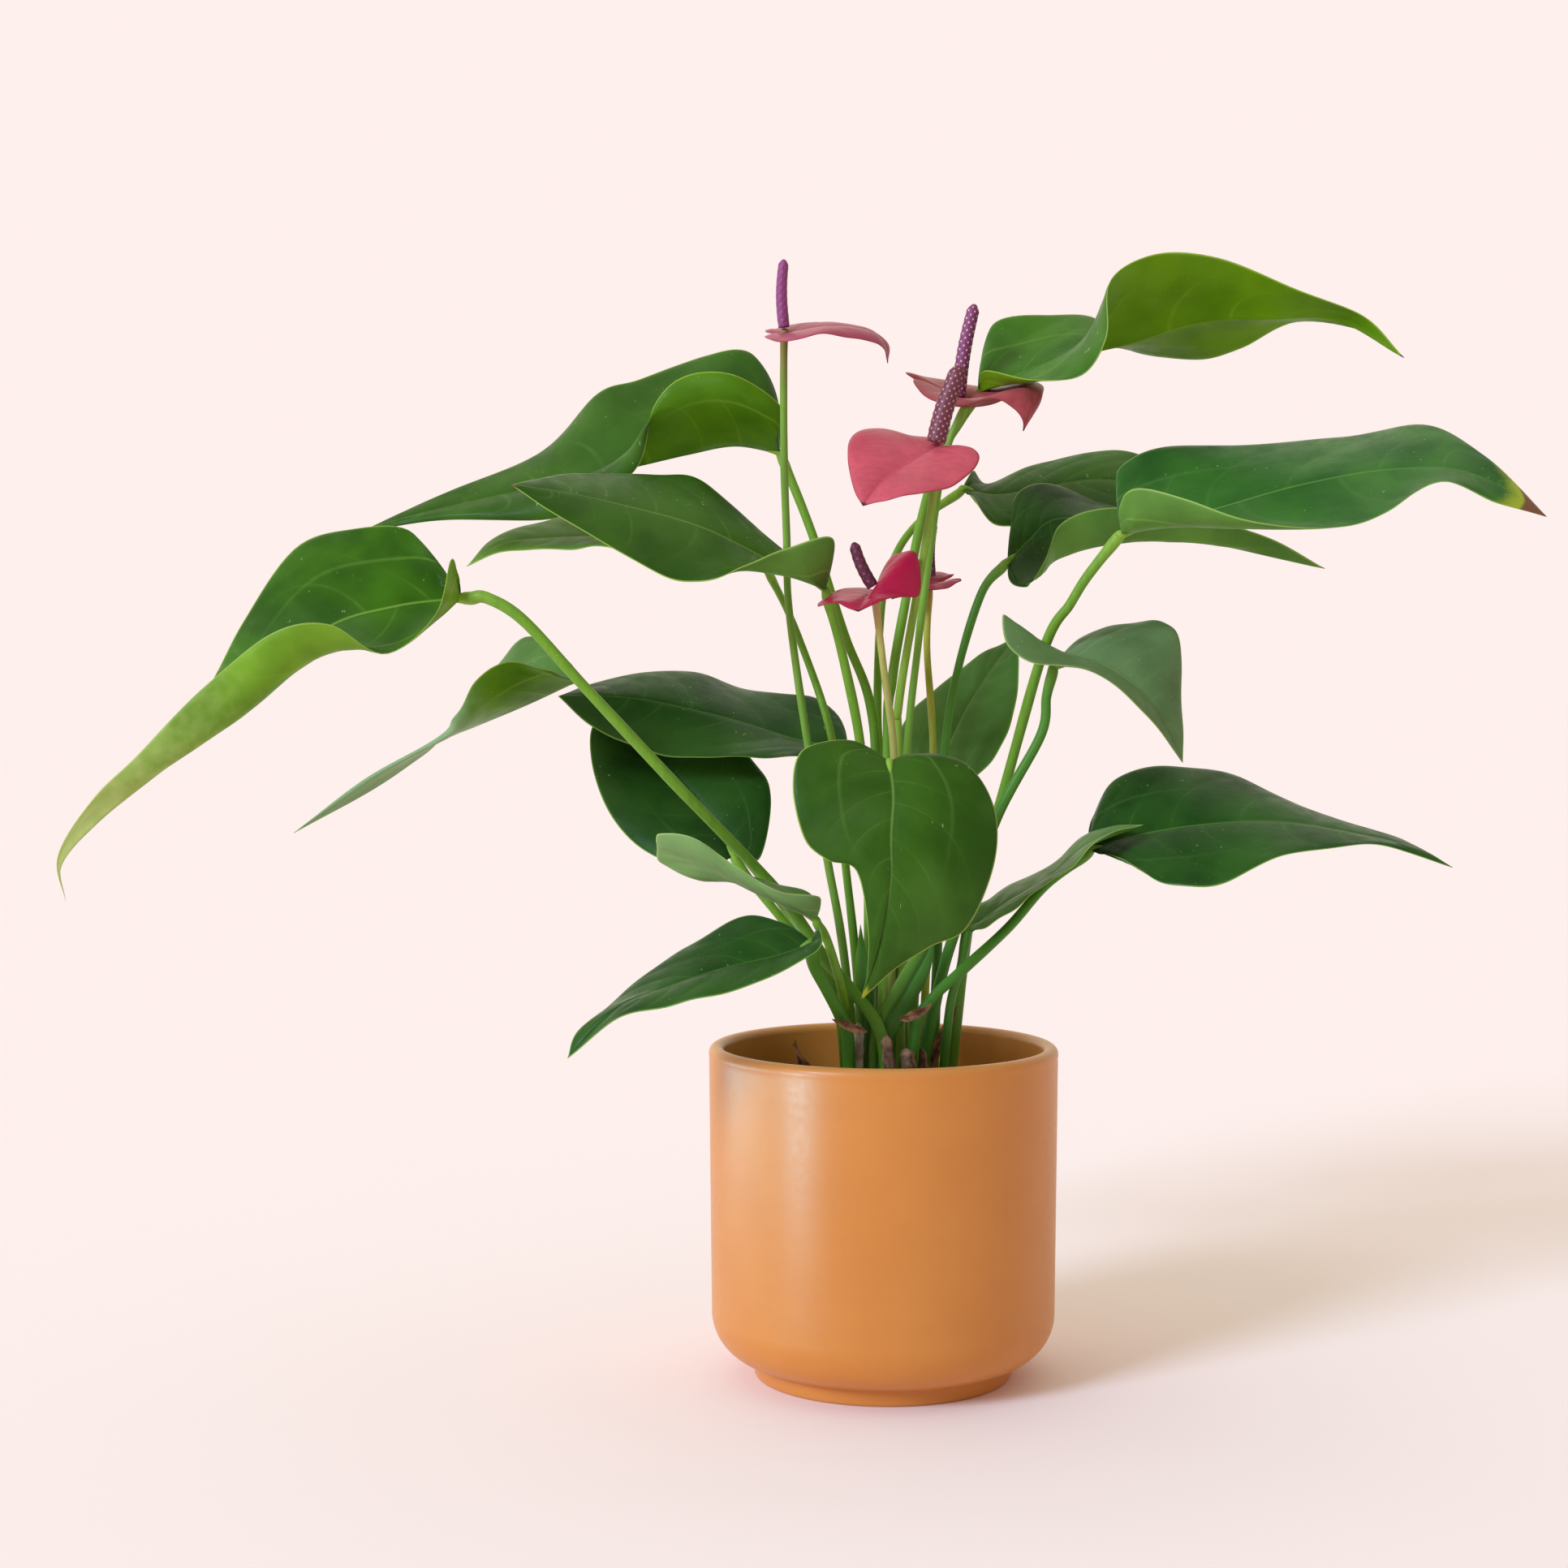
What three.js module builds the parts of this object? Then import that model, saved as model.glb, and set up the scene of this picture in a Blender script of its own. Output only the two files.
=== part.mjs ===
// A flowering anthurium in a round ceramic pot, in millimetres, +Z up.
// The origin is the middle of the pot's flat foot, where it stands; +X is the plant's right, -Y its front.
import * as THREE from "three";
import { mergeVertices } from "three/addons/utils/BufferGeometryUtils.js";

// Driving dimensions.
const RIM_RADIUS = 65;
const RIM_HEIGHT = 123.5;
const WALL = 5.6; // the pot's wall at its rim
const FOOT_RADIUS = 48;
const FOOT_HEIGHT = 6;
const BODY_CORNER = 18; // radius of the round between the pot's side and its underside
const FLOOR_HEIGHT = 8; // top of the pot's floor
const SOIL_HEIGHT = 101;
const GAP = 0.4; // clearance between neighbouring solids
const BLADE_THICKNESS = 1.0;

// How finely the curved pieces are cut.
const POT_SIDES = 48;
const BLADE_ROWS = 12; // rows of a blade from its joint to its tip
const BLADE_STRIPS = 3; // strips of a half blade from its midrib to its edge
const FAN = 0.25; // share of the rows that fan out round the joint
const STEM_SIDES = 6;
const STEM_STEPS = 9;
const SPADIX_SIDES = 10;

const LOOKS = {
  ceramic: { color: 0xd98f48, roughness: 0.45, metalness: 0 },
  soil: { color: 0x3a2a1c, roughness: 0.95, metalness: 0 },
  blade: { color: 0x33591f, roughness: 0.35, metalness: 0 },
  petiole: { color: 0x6ea02f, roughness: 0.5, metalness: 0 },
  spathe: { color: 0xcf5a66, roughness: 0.35, metalness: 0 },
  spadix: { color: 0x7c3560, roughness: 0.6, metalness: 0 },
  bract: { color: 0x7a5236, roughness: 0.9, metalness: 0 },
};

// Each leaf: its midrib from joint to tip, then its right and left edges between those two ends, as seen
// from above with the tip pointing away. belly bows a half out of the straight line from midrib to edge,
// as vectors spread evenly from joint to tip. stem runs from the soil up to just short of the joint.
const LEAVES = {
  large_left: {
    rib: [[-152, -40, 288], [-174, -46, 285], [-198, -50, 277], [-219, -54, 255],
      [-237, -58, 240], [-257, -61, 225], [-275, -63, 210], [-288, -63, 195], [-287, -62, 182]],
    right: [[-159, -32, 296], [-172, -26, 313], [-193, -22, 313], [-213, -24, 307],
      [-230, -36, 280], [-240, -47, 257], [-258, -57, 229], [-277, -61, 210], [-288, -63, 196]],
    left: [[-154, -42, 302], [-158, -60, 282], [-174, -68, 268], [-192, -76, 278],
      [-211, -78, 275], [-236, -71, 257], [-260, -68, 233], [-276, -66, 218], [-289, -64, 198]],
    leftBelly: [[0, 0, 0], [0, 0, 0], [0, -4, -12], [0, -4, -10], [0, 0, 0], [0, 0, 0]],
    stem: [[2, -31], [-2, -30, 131], [-12, -25, 146], [-23, -23, 159], [-40, -22, 183],
      [-76, -36, 222], [-108, -44, 257], [-129, -45, 280], [-142, -43, 288], [-148, -41, 288]],
    stemRadius: 2.1,
  },
  slim_left: {
    rib: [[-118, 50, 259], [-137, 46, 250], [-156, 44, 242], [-170, 44, 236], [-194, 44, 222],
      [-227, 40, 200]],
    right: [[-123, 68, 267], [-139, 82, 277], [-149, 84, 269], [-161, 76, 255], [-172, 58, 237],
      [-188, 50, 222]],
    left: [[-128, 30, 263], [-142, 22, 266], [-154, 22, 259], [-162, 28, 246], [-169, 36, 238],
      [-198, 42, 222]],
    leftBelly: [[0, -4, -2], [0, -6, -3], [0, -2, 0]],
    stem: [[-11, 8], [-14, 8, 133], [-24, 12, 153], [-42, 26, 179], [-64, 40, 203],
      [-89, 50, 229], [-114, 51, 255]],
    stemRadius: 1.6,
  },
  high_left: {
    rib: [[-39, 42, 347], [-56, 44, 350], [-74, 46, 347], [-93, 50, 343], [-122, 56, 337],
      [-154, 64, 331], [-187, 70, 324], [-207, 74, 318]],
    right: [[-40, 60, 370], [-50, 68, 389], [-68, 72, 388], [-94, 76, 379], [-112, 78, 373],
      [-136, 78, 350], [-169, 76, 335]],
    left: [[-41, 32, 355], [-39, 24, 363], [-56, 20, 374], [-73, 22, 375], [-86, 24, 363],
      [-94, 30, 339], [-124, 42, 322], [-167, 62, 323]],
    leftBelly: [[0, -4, 0], [0, -12, 0], [0, -6, 0], [0, 0, 0]],
    stem: [[-2, 20], [-2, 22, 209], [-4, 25, 249], [-14, 30, 277], [-26, 38, 315], [-37, 42, 343]],
    stemRadius: 1.8,
  },
  mid_left: {
    rib: [[-22, -16, 292], [-43, -14, 303], [-68, -16, 315], [-98, -20, 323], [-118, -24, 327],
      [-135, -28, 329]],
    right: [[-31, -8, 300], [-45, 0, 314], [-66, 8, 332], [-87, 10, 336], [-117, -4, 335]],
    left: [[-20, -30, 310], [-37, -40, 305], [-52, -44, 299], [-67, -42, 294], [-85, -40, 298],
      [-110, -36, 313]],
    leftBelly: [[0, -4, -8], [0, -2, -4], [0, 0, 0]],
    stem: [[-5, -8], [-6, -6, 196], [-9, -8, 236], [-16, -12, 270], [-21, -16, 288]],
    stemRadius: 1.8,
  },
  back_left: {
    rib: [[-44, 52, 302], [-71, 58, 312], [-103, 66, 316], [-130, 74, 316], [-150, 80, 314],
      [-165, 84, 305]],
    right: [[-50, 72, 313], [-75, 86, 323], [-112, 94, 327], [-131, 94, 324], [-152, 90, 319]],
    left: [[-53, 36, 301], [-80, 40, 302], [-105, 52, 311], [-122, 58, 310], [-148, 76, 311]],
    stem: [[-6, 12], [-10, 12, 154], [-14, 11, 191], [-19, 11, 237], [-32, 30, 277], [-42, 50, 299]],
    stemRadius: 1.5,
  },
  dark_left: {
    rib: [[-13, 33, 233], [-31, 31, 236], [-57, 29, 244], [-87, 27, 251], [-105, 25, 253],
      [-123, 25, 253]],
    right: [[-14, 47, 242], [-25, 55, 252], [-47, 59, 255], [-73, 61, 262], [-104, 47, 260]],
    left: [[-27, 15, 231], [-46, 8, 230], [-68, 7, 230], [-89, 9, 233], [-109, 17, 241]],
    stem: [[-5, 6], [-4, 14, 164], [-7, 25, 205], [-13, 32, 230]],
    stemRadius: 1.6,
  },
  low_dark: {
    rib: [[-56, -2, 194], [-66, 10, 209], [-79, 22, 223], [-93, 32, 235], [-103, 40, 246]],
    right: [[-46, -4, 193], [-42, 12, 214], [-47, 24, 227], [-64, 36, 240], [-87, 42, 246]],
    left: [[-66, -8, 190], [-85, -4, 194], [-100, 4, 206], [-109, 18, 224], [-111, 34, 241]],
    rightBelly: [[0, -1, 1]],
    leftBelly: [[0, -2, 1]],
    stem: [[-13, -4], [-17, -8, 139], [-25, -8, 155], [-38, -6, 171], [-48, -4, 183],
      [-54, -3, 191]],
    stemRadius: 1.6,
  },
  rolled: {
    rib: [[-26, -42, 174], [-39, -44, 180], [-53, -46, 187], [-67, -48, 195], [-82, -46, 200]],
    right: [[-27, -30, 182], [-42, -28, 186], [-55, -32, 189], [-68, -40, 188], [-81, -42, 194]],
    left: [[-24, -46, 182], [-39, -54, 185], [-54, -56, 194], [-69, -56, 204], [-81, -52, 205]],
    leftBelly: [[0, -3, -2]],
    stem: [[-12, -12], [-13, -19, 132], [-15, -27, 142], [-17, -33, 151], [-19, -35, 158],
      [-22, -38, 167], [-25, -42, 172]],
    stemRadius: 1.5,
  },
  low_left: {
    rib: [[-27, -50, 166], [-40, -54, 162], [-59, -58, 158], [-78, -62, 152], [-95, -66, 145],
      [-112, -68, 128]],
    right: [[-32, -44, 169], [-49, -34, 175], [-71, -36, 164], [-90, -48, 151], [-108, -62, 138]],
    left: [[-25, -62, 173], [-27, -72, 164], [-50, -78, 154], [-72, -78, 149], [-94, -74, 142]],
    stem: [[-13, -31], [-14, -32, 130], [-17, -34, 139], [-22, -38, 149], [-26, -43, 157],
      [-27, -48, 163]],
    stemRadius: 2.1,
  },
  front_heart: {
    rib: [[0, -52, 230], [1, -61, 219], [0, -68, 205], [0, -70, 190], [-3, -67, 171],
      [-10, -58, 147]],
    right: [[-13, -48, 237], [-30, -56, 235], [-34, -62, 222], [-30, -66, 204], [-22, -66, 197],
      [-12, -68, 193], [-8, -66, 171], [-8, -62, 157]],
    left: [[12, -44, 233], [27, -48, 230], [37, -56, 213], [35, -62, 192], [26, -64, 172],
      [13, -64, 166], [0, -61, 157]],
    rightBelly: [[0, -1, 0]],
    leftBelly: [[0, -2, 1]],
    stem: [[-1, -18], [-1, -30, 182], [0, -42, 217], [0, -50, 227]],
    stemRadius: 1.7,
  },
  back_centre: {
    rib: [[21, 40, 218], [28, 46, 235], [36, 54, 250], [46, 60, 265], [56, 66, 277]],
    right: [[31, 32, 220], [44, 34, 229], [52, 42, 246], [55, 54, 265]],
    left: [[9, 50, 225], [10, 60, 242], [22, 66, 255], [43, 68, 270]],
    stem: [[10, 15], [15, 28, 171], [18, 35, 199], [20, 39, 215]],
    stemRadius: 1.6,
  },
  small_right: {
    rib: [[62, -14, 264], [75, -16, 266], [88, -18, 259], [98, -20, 248], [108, -20, 229]],
    right: [[51, -18, 273], [43, -16, 283], [44, -26, 272], [54, -34, 264], [74, -36, 262],
      [93, -30, 247]],
    left: [[71, 4, 272], [86, 12, 280], [103, 12, 281], [110, 6, 275], [110, -6, 255]],
    stem: [[10, -14], [21, -14, 151], [30, -14, 178], [42, -14, 211], [57, -14, 239],
      [59, -14, 253], [61, -14, 261]],
    stemRadius: 1.9,
  },
  low_right: {
    rib: [[77, 0, 196], [96, -4, 202], [120, -8, 206], [146, -12, 207], [172, -16, 203],
      [193, -20, 198], [206, -22, 191]],
    right: [[87, -18, 193], [101, -34, 186], [120, -40, 187], [143, -36, 196], [175, -28, 200]],
    left: [[79, 14, 207], [89, 24, 221], [110, 28, 226], [135, 26, 223], [162, 10, 210],
      [192, -12, 199]],
    stem: [[8, -28], [11, -28, 133], [17, -27, 144], [27, -24, 153], [45, -14, 168],
      [60, -4, 183], [75, -1, 194]],
    stemRadius: 1.8,
  },
  long_right: {
    rib: [[86, -16, 312], [103, -18, 316], [123, -22, 322], [148, -26, 329], [176, -30, 334],
      [202, -34, 334], [220, -36, 327], [234, -38, 317]],
    right: [[84, -28, 322], [88, -36, 327], [104, -46, 323], [124, -56, 315], [152, -58, 312],
      [174, -54, 317], [194, -48, 329], [215, -42, 322]],
    left: [[88, -2, 329], [88, 3, 338], [107, 10, 347], [137, 12, 347], [170, 8, 349],
      [199, -2, 353], [216, -24, 340]],
    rightBelly: [[0, -3, -4], [0, -3, -6], [0, 0, 0]],
    stem: [[24, 7], [34, 8, 180], [44, 2, 215], [59, -6, 271], [68, -10, 287], [74, -12, 297],
      [84, -15, 310]],
    stemRadius: 2.0,
  },
  under_right: {
    rib: [[48, 24, 304], [57, 30, 313], [67, 38, 321], [87, 42, 321], [112, 41, 316],
      [142, 38, 309], [171, 36, 302]],
    right: [[48, 14, 297], [54, 8, 294], [60, 6, 303], [66, 12, 317], [84, 18, 324],
      [115, 26, 322], [148, 33, 314]],
    left: [[52, 34, 316], [52, 46, 329], [64, 56, 336], [90, 66, 330], [118, 64, 323],
      [148, 50, 313]],
    rightBelly: [[0, 0, 0], [0, -4, -6], [0, -6, -15], [0, -3, -10], [0, 0, 0]],
    stem: [[19, 14], [22, 18, 179], [24, 20, 232], [29, 22, 263], [38, 24, 292], [46, 24, 302]],
    stemRadius: 1.7,
  },
  back_right: {
    rib: [[33, 54, 334], [47, 60, 332], [67, 70, 336], [92, 84, 340], [133, 106, 337]],
    right: [[37, 44, 328], [47, 42, 319], [72, 56, 322], [104, 80, 330]],
    left: [[38, 66, 342], [45, 74, 338], [69, 90, 347], [98, 104, 354], [122, 110, 347]],
    stem: [[4, 26], [1, 32, 209], [-1, 35, 249], [1, 42, 290], [7, 46, 309], [17, 50, 322],
      [31, 54, 332]],
    stemRadius: 1.6,
  },
  high_right: {
    rib: [[36, 14, 367], [55, 12, 375], [76, 10, 381], [94, 8, 385], [118, 6, 392],
      [142, 4, 393], [168, 2, 392], [192, 0, 378]],
    right: [[38, 4, 374], [54, -16, 368], [71, -22, 369], [79, -26, 382], [81, -24, 403],
      [96, -20, 413], [120, -16, 412], [148, -10, 402], [176, -3, 393]],
    left: [[39, 28, 382], [44, 36, 396], [64, 40, 399], [83, 42, 399], [98, 36, 385],
      [119, 30, 381], [136, 22, 384], [155, 12, 393], [181, 3, 388]],
    stem: [[4, 2], [2, 14, 231], [4, 18, 260], [9, 20, 289], [15, 20, 320], [22, 18, 344],
      [29, 16, 356], [34, 14, 364]],
    stemRadius: 1.9,
  },
  narrow_right: {
    rib: [[31, -12, 167], [43, -12, 176], [60, -12, 186], [74, -12, 198], [95, -12, 206]],
    right: [[36, -26, 170], [49, -34, 179], [63, -32, 190], [80, -20, 202]],
    left: [[32, 0, 172], [42, 10, 179], [62, 12, 188], [78, 4, 203]],
    stem: [[20, -15], [24, -12, 138], [28, -11, 153], [30, -12, 165]],
    stemRadius: 1.5,
  },
};

// Each flower: a spathe, which is a coloured leaf, the spadix that stands on its joint, and a stalk.
const FLOWERS = {
  tall_left: {
    rib: [[-36, -1, 386], [-24, -4, 388], [-13, -6, 388], [-4, -7, 386], [0, -8, 381], [1, -8, 375]],
    right: [[-44, -9, 385], [-37, -21, 381], [-24, -24, 383], [-10, -18, 383], [-1, -12, 380]],
    left: [[-44, 8, 389], [-37, 18, 391], [-22, 14, 392], [-9, 6, 389], [1, -2, 383]],
    spadix: [[-37, -1, 389], [-37, -1, 414]],
    spadixRadius: 2.2,
    stem: [[-8, -4], [-15, -2, 159], [-21, -2, 193], [-28, -1, 234], [-35, 2, 284], [-36, 5, 312],
      [-37, 4, 343], [-37, 1, 384]],
    stemRadius: 1.5,
  },
  back: {
    rib: [[31, 8, 361], [40, 5, 362], [48, 0, 365], [53, -5, 366], [54, -9, 359], [50.5, -10, 350]],
    right: [[12, 4, 370], [13, -6, 365], [21, -12, 360], [30, -13, 359], [39, -13, 361],
      [46, -13, 359], [50, -12, 354]],
    left: [[9, 18, 374], [20, 28, 374], [40, 30, 369], [56, 20, 371], [59, 1, 366]],
    spadix: [[28, 8, 364.6], [34, 8, 399]],
    spadixRadius: 2.8,
    stem: [[8, 0], [8, 4, 180], [9, 7, 232], [13, 8, 271], [15, 8, 288], [19, 8, 319],
      [23, 8, 343], [29, 8, 358]],
    stemRadius: 1.5,
  },
  front: {
    rib: [[18, -20, 343], [8, -26, 337], [-2, -32, 330], [-9, -36, 321]],
    right: [[22, -10, 346], [11, -4, 349], [-2, -6, 351], [-12, -14, 348], [-14, -24, 339],
      [-12, -32, 327]],
    left: [[29, -24, 343], [33, -30, 338], [26, -38, 330], [14, -44, 325], [1, -44, 323]],
    spadix: [[18, -21, 345], [27, -20, 373]],
    spadixRadius: 3.7,
    stem: [[6, -12], [5, -10, 229], [5, -12, 250], [11, -16, 288], [17, -20, 325], [18, -20, 340]],
    stemRadius: 1.6,
  },
  low: {
    rib: [[-4, -28, 289], [-8, -40, 288], [-11, -52, 283]],
    right: [[-5, -16, 292], [-18, -18, 291], [-25, -30, 286], [-19, -44, 286]],
    left: [[0, -16, 300], [5, -20, 305], [11, -26, 304], [11, -36, 289], [0, -46, 288]],
    spadix: [[-5, -29, 292.5], [-12, -30, 308.5]],
    spadixRadius: 2.3,
    stem: [[1, -8], [3, -16, 181], [3, -20, 231], [-1, -26, 263], [-4, -28, 287]],
    stemRadius: 1.4,
  },
  hidden: {
    rib: [[19, 38, 294], [15, 34, 295], [9, 30, 295], [4, 28, 290]],
    right: [[29, 46, 300], [22, 52, 301], [12, 46, 298]],
    left: [[31, 36, 298], [24, 28, 294], [13, 26, 292]],
    spadix: [[20, 39, 299], [21, 39, 320]],
    spadixRadius: 1.8,
    stem: [[14, 6], [18, 14, 179], [20, 27, 232], [18, 35, 271], [19, 38, 292]],
    stemRadius: 1.4,
  },
};

// Small leaf-like pieces at the crown: dried bracts, brown and curled, and green sheaths.
const SHEATHS = {
  dried_bract_left: {
    rib: [[-24, -19, 102], [-28, -19, 114], [-33, -20, 128]],
    right: [[-29, -17, 112], [-34, -18, 124]],
    left: [[-23, -20, 113], [-30, -22, 122]],
  },
  dried_bract_right: {
    rib: [[16, -6, 102], [18, -6, 119], [23, -7, 130], [27, -7, 139]],
    right: [[18, -6, 110], [22, -6, 122], [26, -7, 132]],
    left: [[15, -6, 112], [18, -7, 125], [23, -8, 134]],
  },
  dried_bract_front: {
    rib: [[4, -35, 137], [10, -35, 139], [16, -36, 143]],
    right: [[8, -35, 136], [14, -35, 139]],
    left: [[7, -36, 140], [12, -37, 142]],
  },
  dried_bract_crossing: {
    rib: [[-20, -40, 138], [-13, -39, 135], [-7, -38, 133]],
    right: [[-17, -39, 135], [-11, -38, 132]],
    left: [[-16, -41, 138], [-10, -40, 136]],
  },
  green_sheath_right: {
    rib: [[-4, -26, 103], [-3, -26, 120], [-1, -26, 133], [7, -25, 146], [15, -22, 160], [18, -21, 167]],
    right: [[0, -26, 114], [2, -26, 127], [9, -25, 139], [16, -22, 153]],
    left: [[-6, -26, 114], [-6, -26, 128], [-1, -26, 142], [8, -24, 157]],
  },
  green_sheath_left: {
    rib: [[-8, -20, 103], [-8, -19, 130], [-8, -17, 150], [-9, -16, 170]],
    right: [[-5, -20, 116], [-5, -18, 137], [-6, -17, 154]],
    left: [[-10, -20, 116], [-10, -18, 137], [-11, -16, 154]],
  },
};

const WOODY_STEM = { foot: [-10, -26, SOIL_HEIGHT + GAP], top: [-10, -26, 134], radius: 2.3 };

const group = new THREE.Group();

function add(name, geometry, look) {
  const mesh = new THREE.Mesh(geometry, new THREE.MeshStandardMaterial(LOOKS[look]));
  mesh.name = name;
  group.add(mesh);
}

const vectors = (points) => points.map((p) => new THREE.Vector3(...p));

const smooth = (points) => new THREE.CatmullRomCurve3(points, false, "catmullrom", 0.5);

// How far a half bows out at share t of its length, eased to nothing at both ends.
function bellyAt(belly, t) {
  if (!belly) return new THREE.Vector3();
  const bow = belly.length > 1 ? smooth(vectors(belly)).getPoint(t) : new THREE.Vector3(...belly[0]);
  return bow.multiplyScalar(Math.sin(Math.PI * t));
}

// The middle surface of a blade, skinned from its right edge over the midrib to its left edge.
function bladePoints({ rib, right, left, rightBelly, leftBelly, fan = FAN }) {
  const midrib = vectors(rib);
  const joint = midrib[0];
  const tip = midrib[midrib.length - 1];
  const ribCurve = smooth(midrib);
  const halves = [
    { edge: smooth([joint, ...vectors(right), tip]), belly: rightBelly },
    { edge: smooth([joint, ...vectors(left), tip]), belly: leftBelly },
  ];
  const points = [];
  for (let row = 0; row <= BLADE_ROWS; row++) {
    const t = row / BLADE_ROWS;
    const start = ribCurve.getPoint(Math.max(0, (t - fan) / (1 - fan)));
    for (let column = -BLADE_STRIPS; column <= BLADE_STRIPS; column++) {
      const { edge, belly } = halves[column > 0 ? 1 : 0];
      const across = Math.abs(column) / BLADE_STRIPS;
      const point = start.clone().lerp(edge.getPoint(t), across);
      points.push(point.addScaledVector(bellyAt(belly, t), 4 * across * (1 - across)));
    }
  }
  return points;
}

// A blade as a closed solid: the middle surface thickened both ways, down to nothing at its edge.
function blade(leaf) {
  const columns = 2 * BLADE_STRIPS + 1;
  const grid = [];
  for (let row = 0; row < BLADE_ROWS; row++) {
    for (let column = 0; column < columns - 1; column++) {
      const here = row * columns + column;
      const next = here + columns;
      grid.push(here, next, here + 1, here + 1, next, next + 1);
    }
  }
  const sheet = new THREE.BufferGeometry().setFromPoints(bladePoints(leaf));
  sheet.setIndex(grid);
  const joined = mergeVertices(sheet, 1e-3); // the first and last rows close to the joint and the tip
  joined.computeVertexNormals();
  const corners = joined.index.array;
  const { position, normal } = joined.attributes;
  const onEdge = new Set();
  grid.forEach((vertex, i) => {
    const column = vertex % columns;
    const row = Math.floor(vertex / columns);
    const outer = column === 0 || column === columns - 1 || row === 0 || row === BLADE_ROWS;
    if (outer) onEdge.add(corners[i]);
  });
  const count = position.count;
  const solid = [];
  for (const side of [1, -1]) {
    for (let i = 0; i < count; i++) {
      const at = new THREE.Vector3().fromBufferAttribute(position, i);
      const out = new THREE.Vector3().fromBufferAttribute(normal, i);
      solid.push(at.addScaledVector(out, onEdge.has(i) ? 0 : (side * BLADE_THICKNESS) / 2));
    }
  }
  const under = (i) => (onEdge.has(i) ? i : i + count);
  const faces = [];
  for (let i = 0; i < corners.length; i += 3) {
    const [a, b, c] = corners.slice(i, i + 3);
    if (a === b || b === c || c === a) continue;
    faces.push(a, b, c, under(c), under(b), under(a));
  }
  const geometry = new THREE.BufferGeometry().setFromPoints(solid);
  geometry.setIndex(faces);
  geometry.computeVertexNormals();
  return geometry;
}

// A round stem of one thickness along a smooth line.
function stem(points, radius) {
  const section = new THREE.Shape();
  for (let i = 0; i < STEM_SIDES; i++) {
    const angle = (2 * Math.PI * i) / STEM_SIDES;
    const [x, y] = [radius * Math.cos(angle), radius * Math.sin(angle)];
    if (i === 0) section.moveTo(x, y);
    else section.lineTo(x, y);
  }
  section.closePath();
  const path = smooth(vectors(points));
  return new THREE.ExtrudeGeometry(section, { steps: STEM_STEPS, bevelEnabled: false, extrudePath: path });
}

// A stem given from its place on the soil up to its joint.
function stemFromSoil([[x, y], ...rest], radius) {
  return stem([[x, y, SOIL_HEIGHT + GAP], ...rest], radius);
}

// A blunt finger from base to tip, the flower spike.
function spadix([base, tip], radius) {
  const [from, to] = vectors([base, tip]);
  const length = from.distanceTo(to);
  const profile = [[0, 0], [0.9, 0], [1, 0.12], [0.95, 0.6], [0.86, 0.9], [0.6, 0.98], [0, 1]];
  const outline = profile.map(([r, h]) => new THREE.Vector2(r * radius, h * length));
  const geometry = new THREE.LatheGeometry(outline, SPADIX_SIDES);
  const up = new THREE.Vector3(0, 1, 0);
  geometry.applyQuaternion(new THREE.Quaternion().setFromUnitVectors(up, to.clone().sub(from).normalize()));
  return geometry.translate(from.x, from.y, from.z);
}

function turned(profile, sides) {
  return new THREE.LatheGeometry(profile, sides).rotateX(Math.PI / 2);
}

// Points on a round from an angle to straight out, about a centre at radius r and height z. An angle of 0 is
// straight down.
function quarter(r, z, radius, start = 0) {
  return [0, 1, 2, 3, 4].map((i) => {
    const angle = start + (Math.PI / 2 - start) * (i / 4);
    return new THREE.Vector2(r + radius * Math.sin(angle), z - radius * Math.cos(angle));
  });
}

function pot() {
  const side = RIM_RADIUS - 1;
  const inside = RIM_RADIUS - WALL;
  const innerCorner = BODY_CORNER - 3;
  const lip = WALL / 2;
  const footTurn = Math.asin((FOOT_RADIUS - side + BODY_CORNER) / BODY_CORNER); // where the round meets the foot
  const outer = [
    new THREE.Vector2(0, 0),
    new THREE.Vector2(FOOT_RADIUS, 0),
    ...quarter(side - BODY_CORNER, FOOT_HEIGHT + BODY_CORNER, BODY_CORNER, footTurn),
    new THREE.Vector2(RIM_RADIUS, RIM_HEIGHT - lip),
  ];
  const rim = [1, 2, 3].map((i) => {
    const angle = (Math.PI / 4) * i;
    return new THREE.Vector2(inside + lip + lip * Math.cos(angle), RIM_HEIGHT - lip + lip * Math.sin(angle));
  });
  const inner = [
    new THREE.Vector2(inside, RIM_HEIGHT - lip),
    ...quarter(inside - 1 - innerCorner, FLOOR_HEIGHT + innerCorner, innerCorner).reverse(),
    new THREE.Vector2(0, FLOOR_HEIGHT),
  ];
  return turned([...outer, ...rim, ...inner], POT_SIDES);
}

function soil() {
  const wall = RIM_RADIUS - WALL - 1 - GAP;
  const corner = BODY_CORNER - 3;
  const profile = [
    new THREE.Vector2(0, FLOOR_HEIGHT + GAP),
    ...quarter(wall - corner, FLOOR_HEIGHT + GAP + corner, corner),
    new THREE.Vector2(wall, SOIL_HEIGHT),
    new THREE.Vector2(0, SOIL_HEIGHT),
  ];
  return turned(profile, POT_SIDES / 2);
}

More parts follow.
